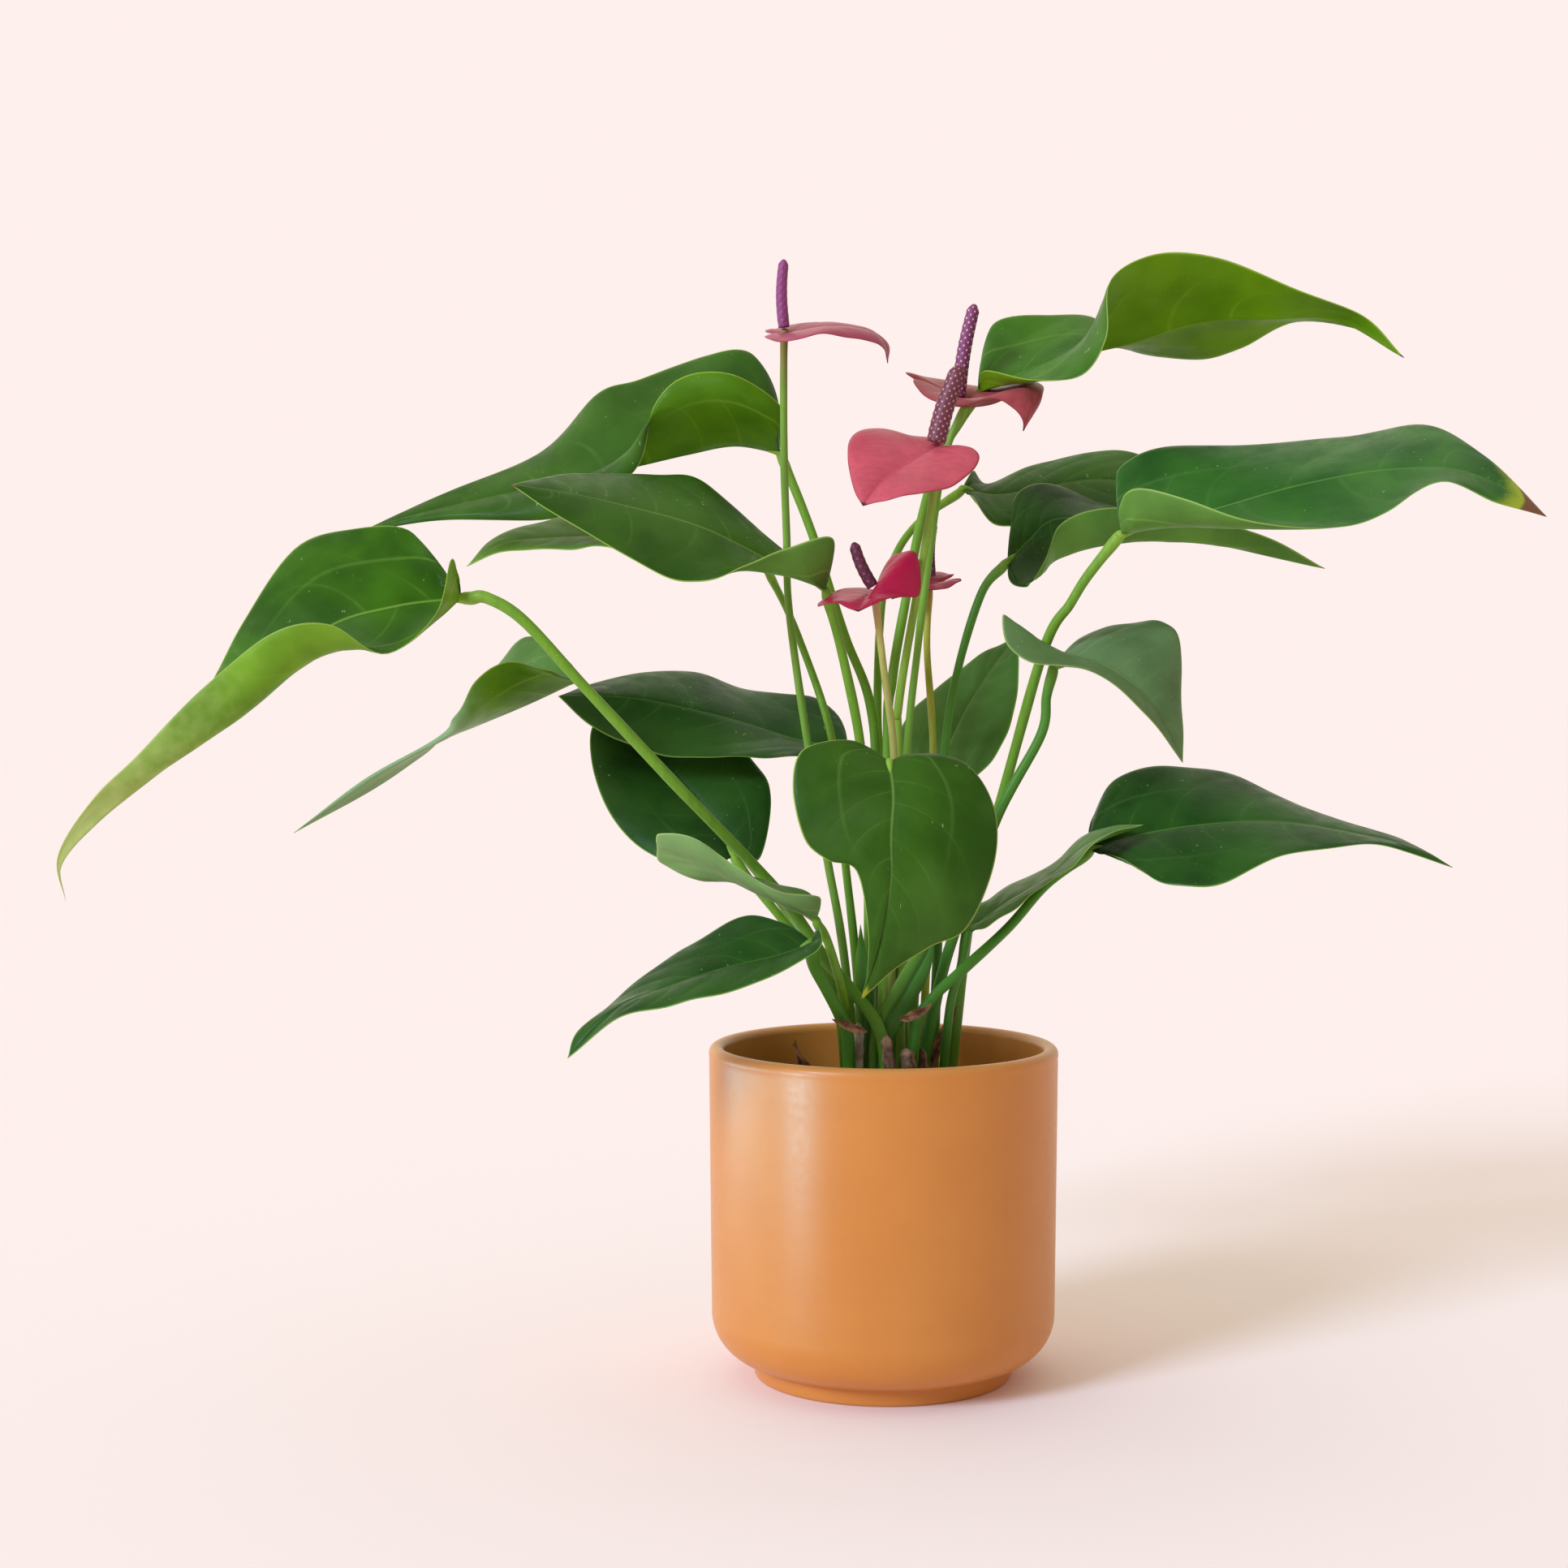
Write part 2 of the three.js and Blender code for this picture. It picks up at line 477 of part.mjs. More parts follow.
add("pot", pot(), "ceramic");
add("potting_soil", soil(), "soil");
add("woody_stem", stem([WOODY_STEM.foot, WOODY_STEM.top], WOODY_STEM.radius), "bract");
for (const [name, leaf] of Object.entries(LEAVES)) {
  add(`blade_${name}`, blade(leaf), "blade");
  add(`petiole_${name}`, stemFromSoil(leaf.stem, leaf.stemRadius), "petiole");
}
for (const [name, flower] of Object.entries(FLOWERS)) {
  add(`spathe_${name}`, blade(flower), "spathe");
  add(`spadix_${name}`, spadix(flower.spadix, flower.spadixRadius), "spadix");
  add(`stalk_${name}`, stemFromSoil(flower.stem, flower.stemRadius), "petiole");
}
for (const [name, sheath] of Object.entries(SHEATHS)) {
  add(name, blade({ ...sheath, fan: 0 }), name.startsWith("dried") ? "bract" : "petiole");
}

export default group;
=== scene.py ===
# %% [markdown]
# # A flowering anthurium in a ceramic pot
#
# The plant has long heart-shaped leaves on round stems, a few pink flowers and a tan-orange pot. The CAD
# model already holds the size and place of every piece, so this lesson only gives each one its real
# surface. Lengths in the lists are millimetres, and everything that Blender gets is in metres.

# %% The frame
import math

import bmesh
import bpy
import numpy as np
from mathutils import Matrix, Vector


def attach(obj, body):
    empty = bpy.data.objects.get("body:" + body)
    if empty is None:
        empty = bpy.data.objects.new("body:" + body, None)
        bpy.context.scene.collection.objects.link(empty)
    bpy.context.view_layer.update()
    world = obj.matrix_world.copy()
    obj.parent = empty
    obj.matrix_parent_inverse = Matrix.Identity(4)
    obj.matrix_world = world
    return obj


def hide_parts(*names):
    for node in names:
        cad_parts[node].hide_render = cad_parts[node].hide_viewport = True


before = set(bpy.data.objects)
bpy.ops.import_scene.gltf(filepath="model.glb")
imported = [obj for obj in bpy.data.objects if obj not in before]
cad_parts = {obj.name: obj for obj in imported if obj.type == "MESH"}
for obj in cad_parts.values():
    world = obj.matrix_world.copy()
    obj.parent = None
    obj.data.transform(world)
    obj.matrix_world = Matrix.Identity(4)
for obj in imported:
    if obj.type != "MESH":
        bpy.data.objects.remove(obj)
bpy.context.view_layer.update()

MM = 0.001
print("CAD pieces:", len(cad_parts))

# %% [markdown]
# ## Camera
#
# The plant is looked at from the front, from about a metre away and from the height of its upper leaves,
# with the lens tipped down a little so that the rim of the pot shows its opening. A longish lens keeps
# the pot's sides upright.

# %% Camera
CAMERA_PLACE = (-37, -950, 257)
CAMERA_TILT = 2.2  # degrees below level

lens = bpy.data.cameras.new("camera")
lens.sensor_width = 36
lens.lens = 58.73
camera = bpy.data.objects.new("camera", lens)
camera.location = Vector(CAMERA_PLACE) * MM
camera.rotation_euler = (math.radians(90 - CAMERA_TILT), 0, 0)
bpy.context.scene.collection.objects.link(camera)
bpy.context.scene.camera = camera

# %% [markdown]
# ## Light and floor
#
# A plant that stands near a window has cool soft light from the left and a warm pale room all round, which
# is dimmest behind the viewer, on the right. A wide sun makes the long soft shadow and the world fills it
# in. An area light would leave bright and dark patches on the floor, but the sun and the world light it
# evenly, so it can have just the colour of the wall behind and no horizon shows: the share that the world
# gives is what is left in the shadow, and the sun gives the rest. The world gets brighter to one side and
# dimmer to the other by the same amount, which a level floor doesn't notice.

# %% Light and floor
WALL_COLOUR = (0.995, 0.87, 0.845)
SHADE = np.array((0.79, 0.73, 0.63))  # share of the light left in the shadow, in red, green and blue
DIM_SIDE = Vector((0.6, -0.8, 0.0)).normalized()
DIM_SHARE = 0.6  # how much of the room's light is missing on its dim side
SUN_LEFT, SUN_HEIGHT = math.radians(48), math.radians(27)  # from straight in front, and above the floor
SUN_SOFTNESS = math.radians(18)
PLANT_MIDDLE = Vector((0, 0, 0.2))


def light(name, kind, place, power, colour, toward=PLANT_MIDDLE, **settings):
    """A light at a place in metres, turned towards a point."""
    data = bpy.data.lights.new(name, kind)
    data.energy = power
    data.color = colour
    for key, value in settings.items():
        setattr(data, key, value)
    made = bpy.data.objects.new(name, data)
    made.location = place
    made.rotation_euler = (toward - Vector(place)).to_track_quat("-Z", "Y").to_euler()
    bpy.context.scene.collection.objects.link(made)
    return made


to_sun = Vector((-math.sin(SUN_LEFT) * math.cos(SUN_HEIGHT), -math.cos(SUN_LEFT) * math.cos(SUN_HEIGHT),
                 math.sin(SUN_HEIGHT)))
sun_share = 1 - SHADE
light("sun", "SUN", PLANT_MIDDLE + to_sun * 3, sun_share.max() * math.pi / math.sin(SUN_HEIGHT),
      sun_share / sun_share.max(), angle=SUN_SOFTNESS)

world = bpy.data.worlds.new("pale_room")
world.use_nodes = True
room = world.node_tree.nodes["Background"]
room.inputs["Color"].default_value = (*SHADE, 1)
direction = world.node_tree.nodes.new("ShaderNodeTexCoord")
to_bright_side = world.node_tree.nodes.new("ShaderNodeVectorMath")
to_bright_side.operation = "DOT_PRODUCT"
to_bright_side.inputs[1].default_value = -DIM_SHARE * DIM_SIDE
room_light = world.node_tree.nodes.new("ShaderNodeMath")
room_light.inputs[1].default_value = 1.0
wall = world.node_tree.nodes.new("ShaderNodeBackground")
wall.inputs["Color"].default_value = (*WALL_COLOUR, 1)
seen = world.node_tree.nodes.new("ShaderNodeLightPath")
choice = world.node_tree.nodes.new("ShaderNodeMixShader")
for output, socket in ((direction.outputs["Generated"], to_bright_side.inputs[0]),
                       (to_bright_side.outputs["Value"], room_light.inputs[0]),
                       (room_light.outputs[0], room.inputs["Strength"]),
                       (seen.outputs["Is Camera Ray"], choice.inputs[0]),
                       (room.outputs[0], choice.inputs[1]), (wall.outputs[0], choice.inputs[2]),
                       (choice.outputs[0], world.node_tree.nodes["World Output"].inputs[0])):
    world.node_tree.links.new(output, socket)
bpy.context.scene.world = world
bpy.context.scene.view_settings.view_transform = "Standard"

FLOOR_RADIUS = 30.0
floor_mesh = bpy.data.meshes.new("floor")
shape = bmesh.new()
bmesh.ops.create_circle(shape, cap_ends=True, segments=96, radius=FLOOR_RADIUS)
shape.to_mesh(floor_mesh)
shape.free()
floor = bpy.data.objects.new("floor", floor_mesh)
bpy.context.scene.collection.objects.link(floor)

# %% [markdown]
# ## A kit for finishes
#
# Every finish here is one shader with a few patterns wired into its colour, roughness and bump. The class
# below keeps the wiring short: each method adds one node and returns its output, so that a finish can be
# read as a list of what the surface does. Numbers that are the same all over go straight on the shader.

# %% A kit for finishes
GLOW_DEPTH = 0.0015  # metres that light gets into a leaf or petal


def paint(code):
    """A colour written as six hex digits, as the light values that a shader takes."""
    parts = [int(code[i:i + 2], 16) / 255 for i in (0, 2, 4)]
    return (*[((p + 0.055) / 1.055) ** 2.4 if p > 0.04 else p / 12.92 for p in parts], 1)


class Finish:
    """A material and the few moves with nodes that its patterns need."""

    def __init__(self, name, roughness, **sockets):
        self.material = bpy.data.materials.new(name)
        self.material.use_nodes = True
        self.tree = self.material.node_tree
        self.shader = self.tree.nodes["Principled BSDF"]
        self.set("Roughness", roughness)
        for socket, value in sockets.items():
            self.set(socket.replace("_", " "), value)
        self.relief = None

    def set(self, socket, value):
        """Put a number, a colour or another node's output into one of the shader's sockets."""
        self.join(value, self.shader.inputs[socket])

    def join(self, value, socket):
        if isinstance(value, bpy.types.NodeSocket):
            self.tree.links.new(value, socket)
        else:
            socket.default_value = value

    def node(self, kind, **settings):
        made = self.tree.nodes.new("ShaderNode" + kind)
        for key, value in settings.items():
            setattr(made, key, value)
        return made

    def math(self, operation, a, b=0.0):
        made = self.node("Math", operation=operation)
        self.join(a, made.inputs[0])
        self.join(b, made.inputs[1])
        return made.outputs[0]

    def times(self, a, b):
        return self.math("MULTIPLY", a, b)

    def plus(self, a, b):
        return self.math("ADD", a, b)

    def minus(self, a, b):
        return self.math("SUBTRACT", a, b)

    def absolute(self, a):
        return self.math("ABSOLUTE", a)

    def step(self, value, low, high, out_low=0.0, out_high=1.0):
        """A smooth rise from out_low to out_high as value goes from low to high."""
        made = self.node("MapRange", interpolation_type="SMOOTHSTEP")
        for socket, number in zip(made.inputs, (value, low, high, out_low, out_high)):
            self.join(number, socket)
        return made.outputs[0]

    def mix(self, share, a, b):
        """Colour a, turned into colour b by share."""
        made = self.node("Mix", data_type="RGBA")
        self.join(share, made.inputs["Factor"])
        self.join(a, made.inputs[6])
        self.join(b, made.inputs[7])
        return made.outputs[2]

    def map(self, name):
        """The two numbers of a UV map: here a map holds places along and across a piece."""
        parts = self.node("SeparateXYZ")
        self.tree.links.new(self.node("UVMap", uv_map=name).outputs[0], parts.inputs[0])
        return parts.outputs[0], parts.outputs[1]

    def place(self, stretch=(1, 1, 1), shift=(0, 0, 0)):
        """The point on the piece in metres, stretched for a pattern that runs one way."""
        made = self.node("Mapping")
        made.inputs["Scale"].default_value = stretch
        made.inputs["Location"].default_value = shift
        self.tree.links.new(self.node("TexCoord").outputs["Object"], made.inputs[0])
        return made.outputs[0]

    def cloud(self, size, detail=2.0, at=None):
        """Soft noise from 0 to 1 whose blots are about this many millimetres wide."""
        made = self.node("TexNoise")
        made.inputs["Scale"].default_value = 1 / (size * MM)
        made.inputs["Detail"].default_value = detail
        self.join(at or self.place(), made.inputs["Vector"])
        return made.outputs[0]

    def cells(self, size, feature="DISTANCE_TO_EDGE", at=None):
        """Small cells this many millimetres wide, as the distance to the nearest border or centre."""
        made = self.node("TexVoronoi", feature=feature)
        made.inputs["Scale"].default_value = 1 / (size * MM)
        self.join(at or self.place(), made.inputs["Vector"])
        return made.outputs["Distance"]

    def bump(self, height, depth):
        """Raise the surface by height, 0 to 1, times depth in millimetres. Calls add up."""
        made = self.node("Bump")
        made.inputs["Strength"].default_value = 1.0
        made.inputs["Distance"].default_value = depth * MM
        self.join(height, made.inputs["Height"])
        if self.relief:
            self.join(self.relief, made.inputs["Normal"])
        self.relief = made.outputs[0]
        self.set("Normal", self.relief)

    def glow(self, weight, radius):
        """Let light into the skin by this weight, with its reach in red, green and blue."""
        self.set("Subsurface Weight", weight)
        self.set("Subsurface Radius", radius)
        self.set("Subsurface Scale", GLOW_DEPTH)


floor_finish = Finish("pale_floor", 1.0, Specular_IOR_Level=0.0)
floor_finish.set("Base Color", (*WALL_COLOUR, 1))
floor_mesh.materials.append(floor_finish.material)

# %% [markdown]
# ## A kit for shapes
#
# Leaves, stems, flowers and the pot are all one kind of thing to a mesh: rows of points with skin between
# them. A leaf has its rows from the joint to the tip, a stem has rings along a line, and the pot has rings
# about an upright axis. So one function skins a block of rows, and the rest only work out where the
# points go. Where a row shrinks to one point, the doubled points are welded.

# %% A kit for shapes
WELD = 1e-6


def smooth(points, shares):
    """Points at these shares, 0 to 1, of an even curve that runs through all the given points."""
    points = np.asarray(points, float)
    ends = np.vstack([2 * points[0] - points[1], points, 2 * points[-1] - points[-2]])
    place = np.clip(shares, 0, 1) * (len(points) - 1)
    first = np.minimum(place.astype(int), len(points) - 2)
    t = (place - first)[:, None]
    a, b, c, d = (ends[first + i] for i in range(4))
    return 0.5 * (2 * b + (c - a) * t + (2 * a - 5 * b + 4 * c - d) * t**2 + (3 * b - a - 3 * c + d) * t**3)


def unit(vectors):
    return vectors / np.maximum(np.linalg.norm(vectors, axis=-1, keepdims=True), 1e-9)


def skin(name, points, maps, finishes, nodes):
    """A piece from rows of points in millimetres, with maps of two numbers for each point."""
    rows, columns, _ = points.shape
    corner = np.arange(rows * columns).reshape(rows, columns)
    faces = np.stack([corner[:-1, :-1], corner[1:, :-1], corner[1:, 1:], corner[:-1, 1:]], -1).reshape(-1, 4)
    mesh = bpy.data.meshes.new(name)
    mesh.from_pydata((points.reshape(-1, 3) * MM).tolist(), [], faces.tolist())
    for title, values in maps.items():
        layer = mesh.uv_layers.new(name=title)
        layer.data.foreach_set("uv", values.reshape(-1, 2)[faces.ravel()].astype(np.float32).ravel())
    shape = bmesh.new()
    shape.from_mesh(mesh)
    bmesh.ops.remove_doubles(shape, verts=shape.verts, dist=WELD)
    bmesh.ops.dissolve_degenerate(shape, edges=shape.edges, dist=WELD)
    shape.to_mesh(mesh)
    shape.free()
    mesh.shade_smooth()
    for finish in finishes:
        mesh.materials.append(finish.material)
    piece = bpy.data.objects.new(name, mesh)
    bpy.context.scene.collection.objects.link(piece)
    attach(piece, "root")
    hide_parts(*nodes)
    return piece


def tube(path, radii, sides):
    """Rings of points about a line. radii has a number, or a ring of numbers, for each point of the line."""
    along = unit(np.gradient(path, axis=0))
    across = unit(np.cross(along[0], (1.0, 0.3, 0.0)))
    turn = np.linspace(0, 2 * np.pi, sides + 1)[:, None]
    rings = []
    for point, ahead, radius in zip(path, along, radii):
        across = unit(across - ahead * np.dot(across, ahead))
        ring = np.cos(turn) * across + np.sin(turn) * np.cross(ahead, across)
        rings.append(point + np.reshape(radius, (-1, 1)) * ring)
    return np.array(rings)

# %% [markdown]
# ## Leaf surface
#
# A leaf of this plant is a midrib with two halves that bend in their own ways: one lies flat, the other
# folds up, and the tip trails off in a long tail. Bending a flat outline with modifiers would never give
# each leaf its own turn. Here every leaf is drawn as three lines in space, its midrib and its two edges,
# and the skin is stretched between them. The rows fan out round the joint first, which leaves room for
# the two round lobes behind it, and then walk along the midrib. A bow pushes a half out of the straight
# line from midrib to edge.

# %% Leaf surface
FAN = 0.25  # share of the rows that fan out round the joint


def leaf_surface(leaf, rows, strips, fan=FAN):
    """Points from the right edge over the midrib to the left edge, with each point's place in the leaf:
    along, 0 at the joint to 1 at the tip, and across, -1 on the right edge to 1 on the left."""
    along = np.linspace(0, 1, rows + 1)
    across = np.linspace(0, 1, strips + 1)
    rib = smooth(leaf["rib"], np.maximum(0, (along - fan) / (1 - fan)))
    halves = []
    for side in ("right", "left"):
        edge = smooth([leaf["rib"][0], *leaf[side], leaf["rib"][-1]], along)
        half = rib[:, None] + (edge - rib)[:, None] * across[:, None]
        if side + "_bow" in leaf:
            bow = np.array(leaf[side + "_bow"], float)
            bow = smooth(bow, along) if len(bow) > 1 else bow.repeat(rows + 1, 0)
            half += (bow * np.sin(np.pi * along)[:, None])[:, None] * (4 * across * (1 - across))[:, None]
        halves.append(half)
    points = np.concatenate([halves[0][:, :0:-1], halves[1]], axis=1)
    place = np.stack(np.meshgrid(along, np.r_[-across[:0:-1], across], indexing="ij"), -1)
    return points, place


# %% [markdown]
# ## Veins and ripples
#
# Light on a leaf shows its veins as shallow grooves with the skin swelling a little between them. A bump
# map would do close up, but the swelling changes the outline of the shine, so the larger part is made in
# the mesh and only the finest net of veins is left to the finish. The veins of this plant are faint, so
# the swelling is slight and its spacing wanders a little. Side veins leave the midrib forwards
# and lean further towards the tip as they near the edge, so a vein is a line where along, less a little
# for how far across it is, has a set value.

# %% Veins and ripples
VEIN_LEAN = 0.15  # how much further along a side vein is when it meets the edge
VEIN_WANDER = 0.15  # how far a side vein may lie from its even place, as a share of the gap
WANDER_RATE = 17.0
LEAF_VEINS = 9  # side veins on each half of a leaf


def vein_gap(place, veins):
    """How far each point is from its nearest side vein, from 0 on the vein to 0.5 half way between."""
    along, across = place[..., 0], place[..., 1]
    phase = (along - VEIN_LEAN * across**2) * veins + 0.5 * (across > 0)
    phase += VEIN_WANDER * np.sin(WANDER_RATE * along)
    return np.abs(phase % 1 - 0.5)


def relief(points, place, veins, arch, swell, ripple, seed):
    """The surface with its halves arched, swollen between veins and rippled along the edges."""
    along, across = place[..., 0], np.abs(place[..., 1])
    middle = points.shape[1] // 2
    width = np.linalg.norm(points - points[:, middle:middle + 1], axis=-1)
    reach = np.where(place[..., 1] < 0, width[:, :1], width[:, -1:])
    out = unit(np.cross(np.gradient(points, axis=0), np.gradient(points, axis=1)))
    near_rib = np.exp(-(width / 1.3) ** 2)
    between = 1 - np.exp(-(vein_gap(place, veins) / 0.16) ** 2)
    height = arch * reach * 4 * across * (1 - across)
    height += swell * between * np.minimum(1, 5 * across * (1 - across)) - 0.3 * near_rib
    chance = np.random.default_rng(seed)
    for waves in (2.3, 4.1, 6.7):
        start = chance.uniform(0, 2 * np.pi, 2)
        side = np.where(place[..., 1] < 0, start[0], start[1])
        height += ripple / waves * 2 * np.sin(2 * np.pi * waves * along + side) * across**2
    fade = np.minimum(1, reach / 9) * np.sin(np.pi * np.clip(along, 0, 1)) ** 0.3
    return points + out * (height * fade)[..., None]


def reach_map(points):
    """For each point, how many millimetres it is from the midrib and from its edge."""
    middle = points.shape[1] // 2
    steps = np.linalg.norm(np.diff(points, axis=1), axis=-1)
    walked = np.concatenate([np.zeros((len(points), 1)), np.cumsum(steps, axis=1)], axis=1)
    from_rib = np.abs(walked - walked[:, middle:middle + 1])
    edge = np.where(np.arange(points.shape[1]) < middle, from_rib[:, :1], from_rib[:, -1:])
    return np.stack([from_rib, edge - from_rib], -1)


THIN_EDGE = 0.35  # share of its thickness that a blade has at its edge
FULL_REACH = 4  # over this many millimetres it gains as much again as its full thickness


def make_blade(name, leaf, finishes, nodes, rows=84, strips=22, fan=FAN, veins=LEAF_VEINS, arch=0.03,
               swell=0.2, ripple=0.7, thickness=0.6, seed=1):
    """A leaf-like piece: a thin sheet with its own finish on the upper side and the under side."""
    points, place = leaf_surface(leaf, rows, strips, fan)
    points = relief(points, place, veins, arch, swell, ripple, seed)
    maps = {"span": place, "reach": reach_map(points)}
    piece = skin(name, points, maps, finishes, nodes)
    full = piece.vertex_groups.new(name="full_thickness")
    for face in piece.data.polygons:
        for corner, vertex in zip(face.loop_indices, face.vertices):
            from_edge = piece.data.uv_layers["reach"].data[corner].uv[1]
            full.add([vertex], min(1.0, THIN_EDGE + from_edge / FULL_REACH), "REPLACE")
    solid = piece.modifiers.new("thickness", "SOLIDIFY")
    solid.thickness = thickness * MM
    solid.offset = 0
    solid.vertex_group = full.name
    solid.material_offset = 1
    return piece


# %% [markdown]
# ## Leaf finish
#
# The upper side is deep green and satin. Its midrib shows as a pale line that fades towards the tip, two
# long veins sweep out from the joint, and the side veins are barely lighter than the skin and come and
# go. The very edge is a thread of yellow-green where the leaf is thinnest. The colour drifts slowly,
# patches of painted sheen in a dull grey-green stand in for the window's reflection, and a fine net of
# cells breaks up the shine. Here and there is a tiny pale mark or a scratch. The under side is paler and
# duller, with the veins standing out. Tips that have started to dry change colour in one or two steps.

# %% Leaf finish
def vein_lines(finish, veins, width):
    """Lines of the side veins, 1 on a vein, by the same rule as the veins of the mesh."""
    along, across = finish.map("span")
    lean = finish.times(finish.math("POWER", finish.absolute(across), 2.0), VEIN_LEAN)
    phase = finish.times(finish.minus(along, lean), float(veins))
    side = finish.times(finish.math("GREATER_THAN", across, 0.0), 0.5)
    wander = finish.math("SINE", finish.times(along, WANDER_RATE))
    phase = finish.plus(phase, finish.times(wander, VEIN_WANDER))
    gap = finish.absolute(finish.minus(finish.math("FRACT", finish.plus(phase, side)), 0.5))
    fade = finish.step(finish.absolute(across), 0.05, 0.95, 1.0, 0.1)
    return finish.times(finish.step(gap, 0.0, width, 1.0, 0.0), fade)


def long_veins(finish):
    """The two long veins that sweep out from the joint and follow the edges, fading half way."""
    along, across = finish.map("span")
    middle = finish.plus(finish.times(along, 0.12), 0.5)
    away = finish.absolute(finish.minus(finish.absolute(across), middle))
    return finish.times(finish.step(away, 0.0, 0.035, 1.0, 0.0), finish.step(along, 0.15, 0.65, 1.0, 0.0))


def leaf_finish(name, paints, roughness, vein_share, rib_share, sheen_share, marks, tips):
    """A leaf's skin. paints are its deep and fresh green, its veins and its edge. Each of tips is a colour,
    the share of the length where it starts, and how soon it takes over."""
    deep, fresh, vein, margin = map(paint, paints)
    finish = Finish(name, roughness, IOR=1.42, Specular_IOR_Level=0.14)
    along, _ = finish.map("span")
    from_rib, from_edge = finish.map("reach")
    lines = finish.times(vein_lines(finish, LEAF_VEINS, 0.055),
                        finish.step(finish.cloud(17), 0.35, 0.65, 0.3, 1.0))
    colour = finish.mix(finish.step(finish.cloud(26, 3.0), 0.3, 0.7), deep, fresh)
    colour = finish.mix(finish.times(vein_lines(finish, LEAF_VEINS, 0.4), 0.3), colour, fresh)
    # painted sheen: grey-green patches that stand in for the window's reflection on the leaf
    grey = finish.step(finish.cloud(34, 2.0, finish.place(shift=(0.3, 0.1, 0.7))), 0.45, 0.7, 0.0, sheen_share)
    colour = finish.mix(grey, colour, PAINTED_SHEEN)
    colour = finish.mix(finish.times(lines, vein_share), colour, vein)
    colour = finish.mix(finish.times(long_veins(finish), 1.6 * vein_share), colour, vein)
    rib_width = finish.plus(from_rib, finish.times(along, 0.35))
    rib = finish.times(finish.step(rib_width, 0.3, 0.95, 1.0, 0.0),
                      finish.step(along, 0.25, 0.95, rib_share, 0.4 * rib_share))
    colour = finish.mix(rib, colour, vein)
    rare = finish.step(finish.cloud(21), 0.5, 0.55, 0.0, marks)
    speck = finish.step(finish.cells(8, "F1"), 0.03, 0.06, 1.0, 0.0)
    scratch = finish.step(finish.cloud(1.3, 1.0, finish.place(stretch=(1, 1, 0.09))), 0.74, 0.78)
    marked = finish.times(finish.math("MAXIMUM", speck, scratch), rare)
    colour = finish.mix(marked, colour, MARK)
    colour = finish.mix(finish.step(from_edge, 0.2, 0.7, 0.8, 0.0), colour, margin)
    for tip_paint, start, width in tips:
        ragged = finish.plus(along, finish.times(finish.cloud(5), 0.5 * width))
        dried = finish.step(ragged, start + 0.25 * width, start + 1.25 * width)
        colour = finish.mix(dried, colour, paint(tip_paint))
    finish.set("Base Color", colour)
    finish.set("Roughness", finish.step(finish.cloud(6, 3.0), 0.3, 0.75, roughness - 0.06, roughness + 0.1))
    finish.bump(finish.cells(1.1), 0.03)
    finish.bump(finish.cloud(2.5, 3.0), 0.1)
    finish.bump(lines, -0.06)
    finish.glow(0.1, (0.5, 1.0, 0.15))
    return finish

# %% [markdown]
# ## The leaves' greens
#
# No two leaves here have the same green: old ones are deep, young ones yellow-green, and the ones that
# face the window are painted greyer, as painted sheen that stands in for the window's reflection. Each
# leaf names one of a few pairs of paints for its upper side and under side, and a leaf with a dried tip
# says where each colour begins.

# %% The leaves' greens
# the first colour is painted sheen, a grey-green in place of the window's reflection; the second is pale
# specks
PAINTED_SHEEN, MARK = paint("688a48"), paint("b4c890")
UPPER_PAINTS = {  # deep and fresh green, veins and edge line; roughness; share of painted sheen patches
    "deep": ("1f4216", "2f581c", "5f8a3c", "7da044", 0.36, 0.1),
    "olive": ("2c5010", "3c6416", "7f9c50", "a8c058", 0.4, 0.15),
    # painted sheen: the next paint is greyed to stand in for the window's reflection
    "grey": ("48702c", "5a843a", "8aa468", "9cb45c", 0.44, 0.6),
    "light": ("5c8a30", "709c3c", "90b458", "a8c058", 0.44, 0.2),
    # painted sheen: the next paint is greyed to stand in for the window's reflection
    "dusty": ("587444", "6c8a58", "8aa468", "9cb45c", 0.44, 0.4),
    "green": ("305c12", "447418", "84a848", "9ab84c", 0.4, 0.25),
    "blue": ("285620", "3c7028", "74a050", "86ac48", 0.36, 0.2),
    "fresh": ("285208", "3e700c", "8cb448", "a8c44c", 0.36, 0.2),
}
UNDER_PAINTS = {
    "pale": ("547e32", "66943c", "90b45a", "a8ba60", 0.5, 0.2),
    "silver": ("709454", "84a866", "a4b878", "b4c078", 0.5, 0.3),
    "yellow": ("628c1e", "7aa62a", "98b450", "a8b45c", 0.48, 0.1),
    "vivid": ("406c08", "588610", "8cac34", "a4b840", 0.42, 0.1),
    "sunlit": ("568208", "6e9c10", "9cb83c", "a8bc44", 0.42, 0.1),
    "bright": ("8cb45a", "a0c86c", "b4cc84", "b4c078", 0.5, 0.2),
    "olive": ("446c24", "56802e", "84a44e", "9cb058", 0.5, 0.2),
}
BROWN, YELLOW, STRAW, ASH = "7a5238", "9ca832", "bcc878", "86a474"


def leaf_pair(name, upper, under, tips):
    """The finishes of a leaf's two sides."""
    *upper_paints, upper_roughness, upper_sheen_share = UPPER_PAINTS[upper]
    *under_paints, under_roughness, under_sheen_share = UNDER_PAINTS[under]
    return [
        leaf_finish(f"{name}_top", upper_paints, upper_roughness, 0.16, 0.6, upper_sheen_share, 0.4, tips),
        leaf_finish(f"{name}_under", under_paints, under_roughness, 0.3, 0.5, under_sheen_share, 0.2, tips),
    ]


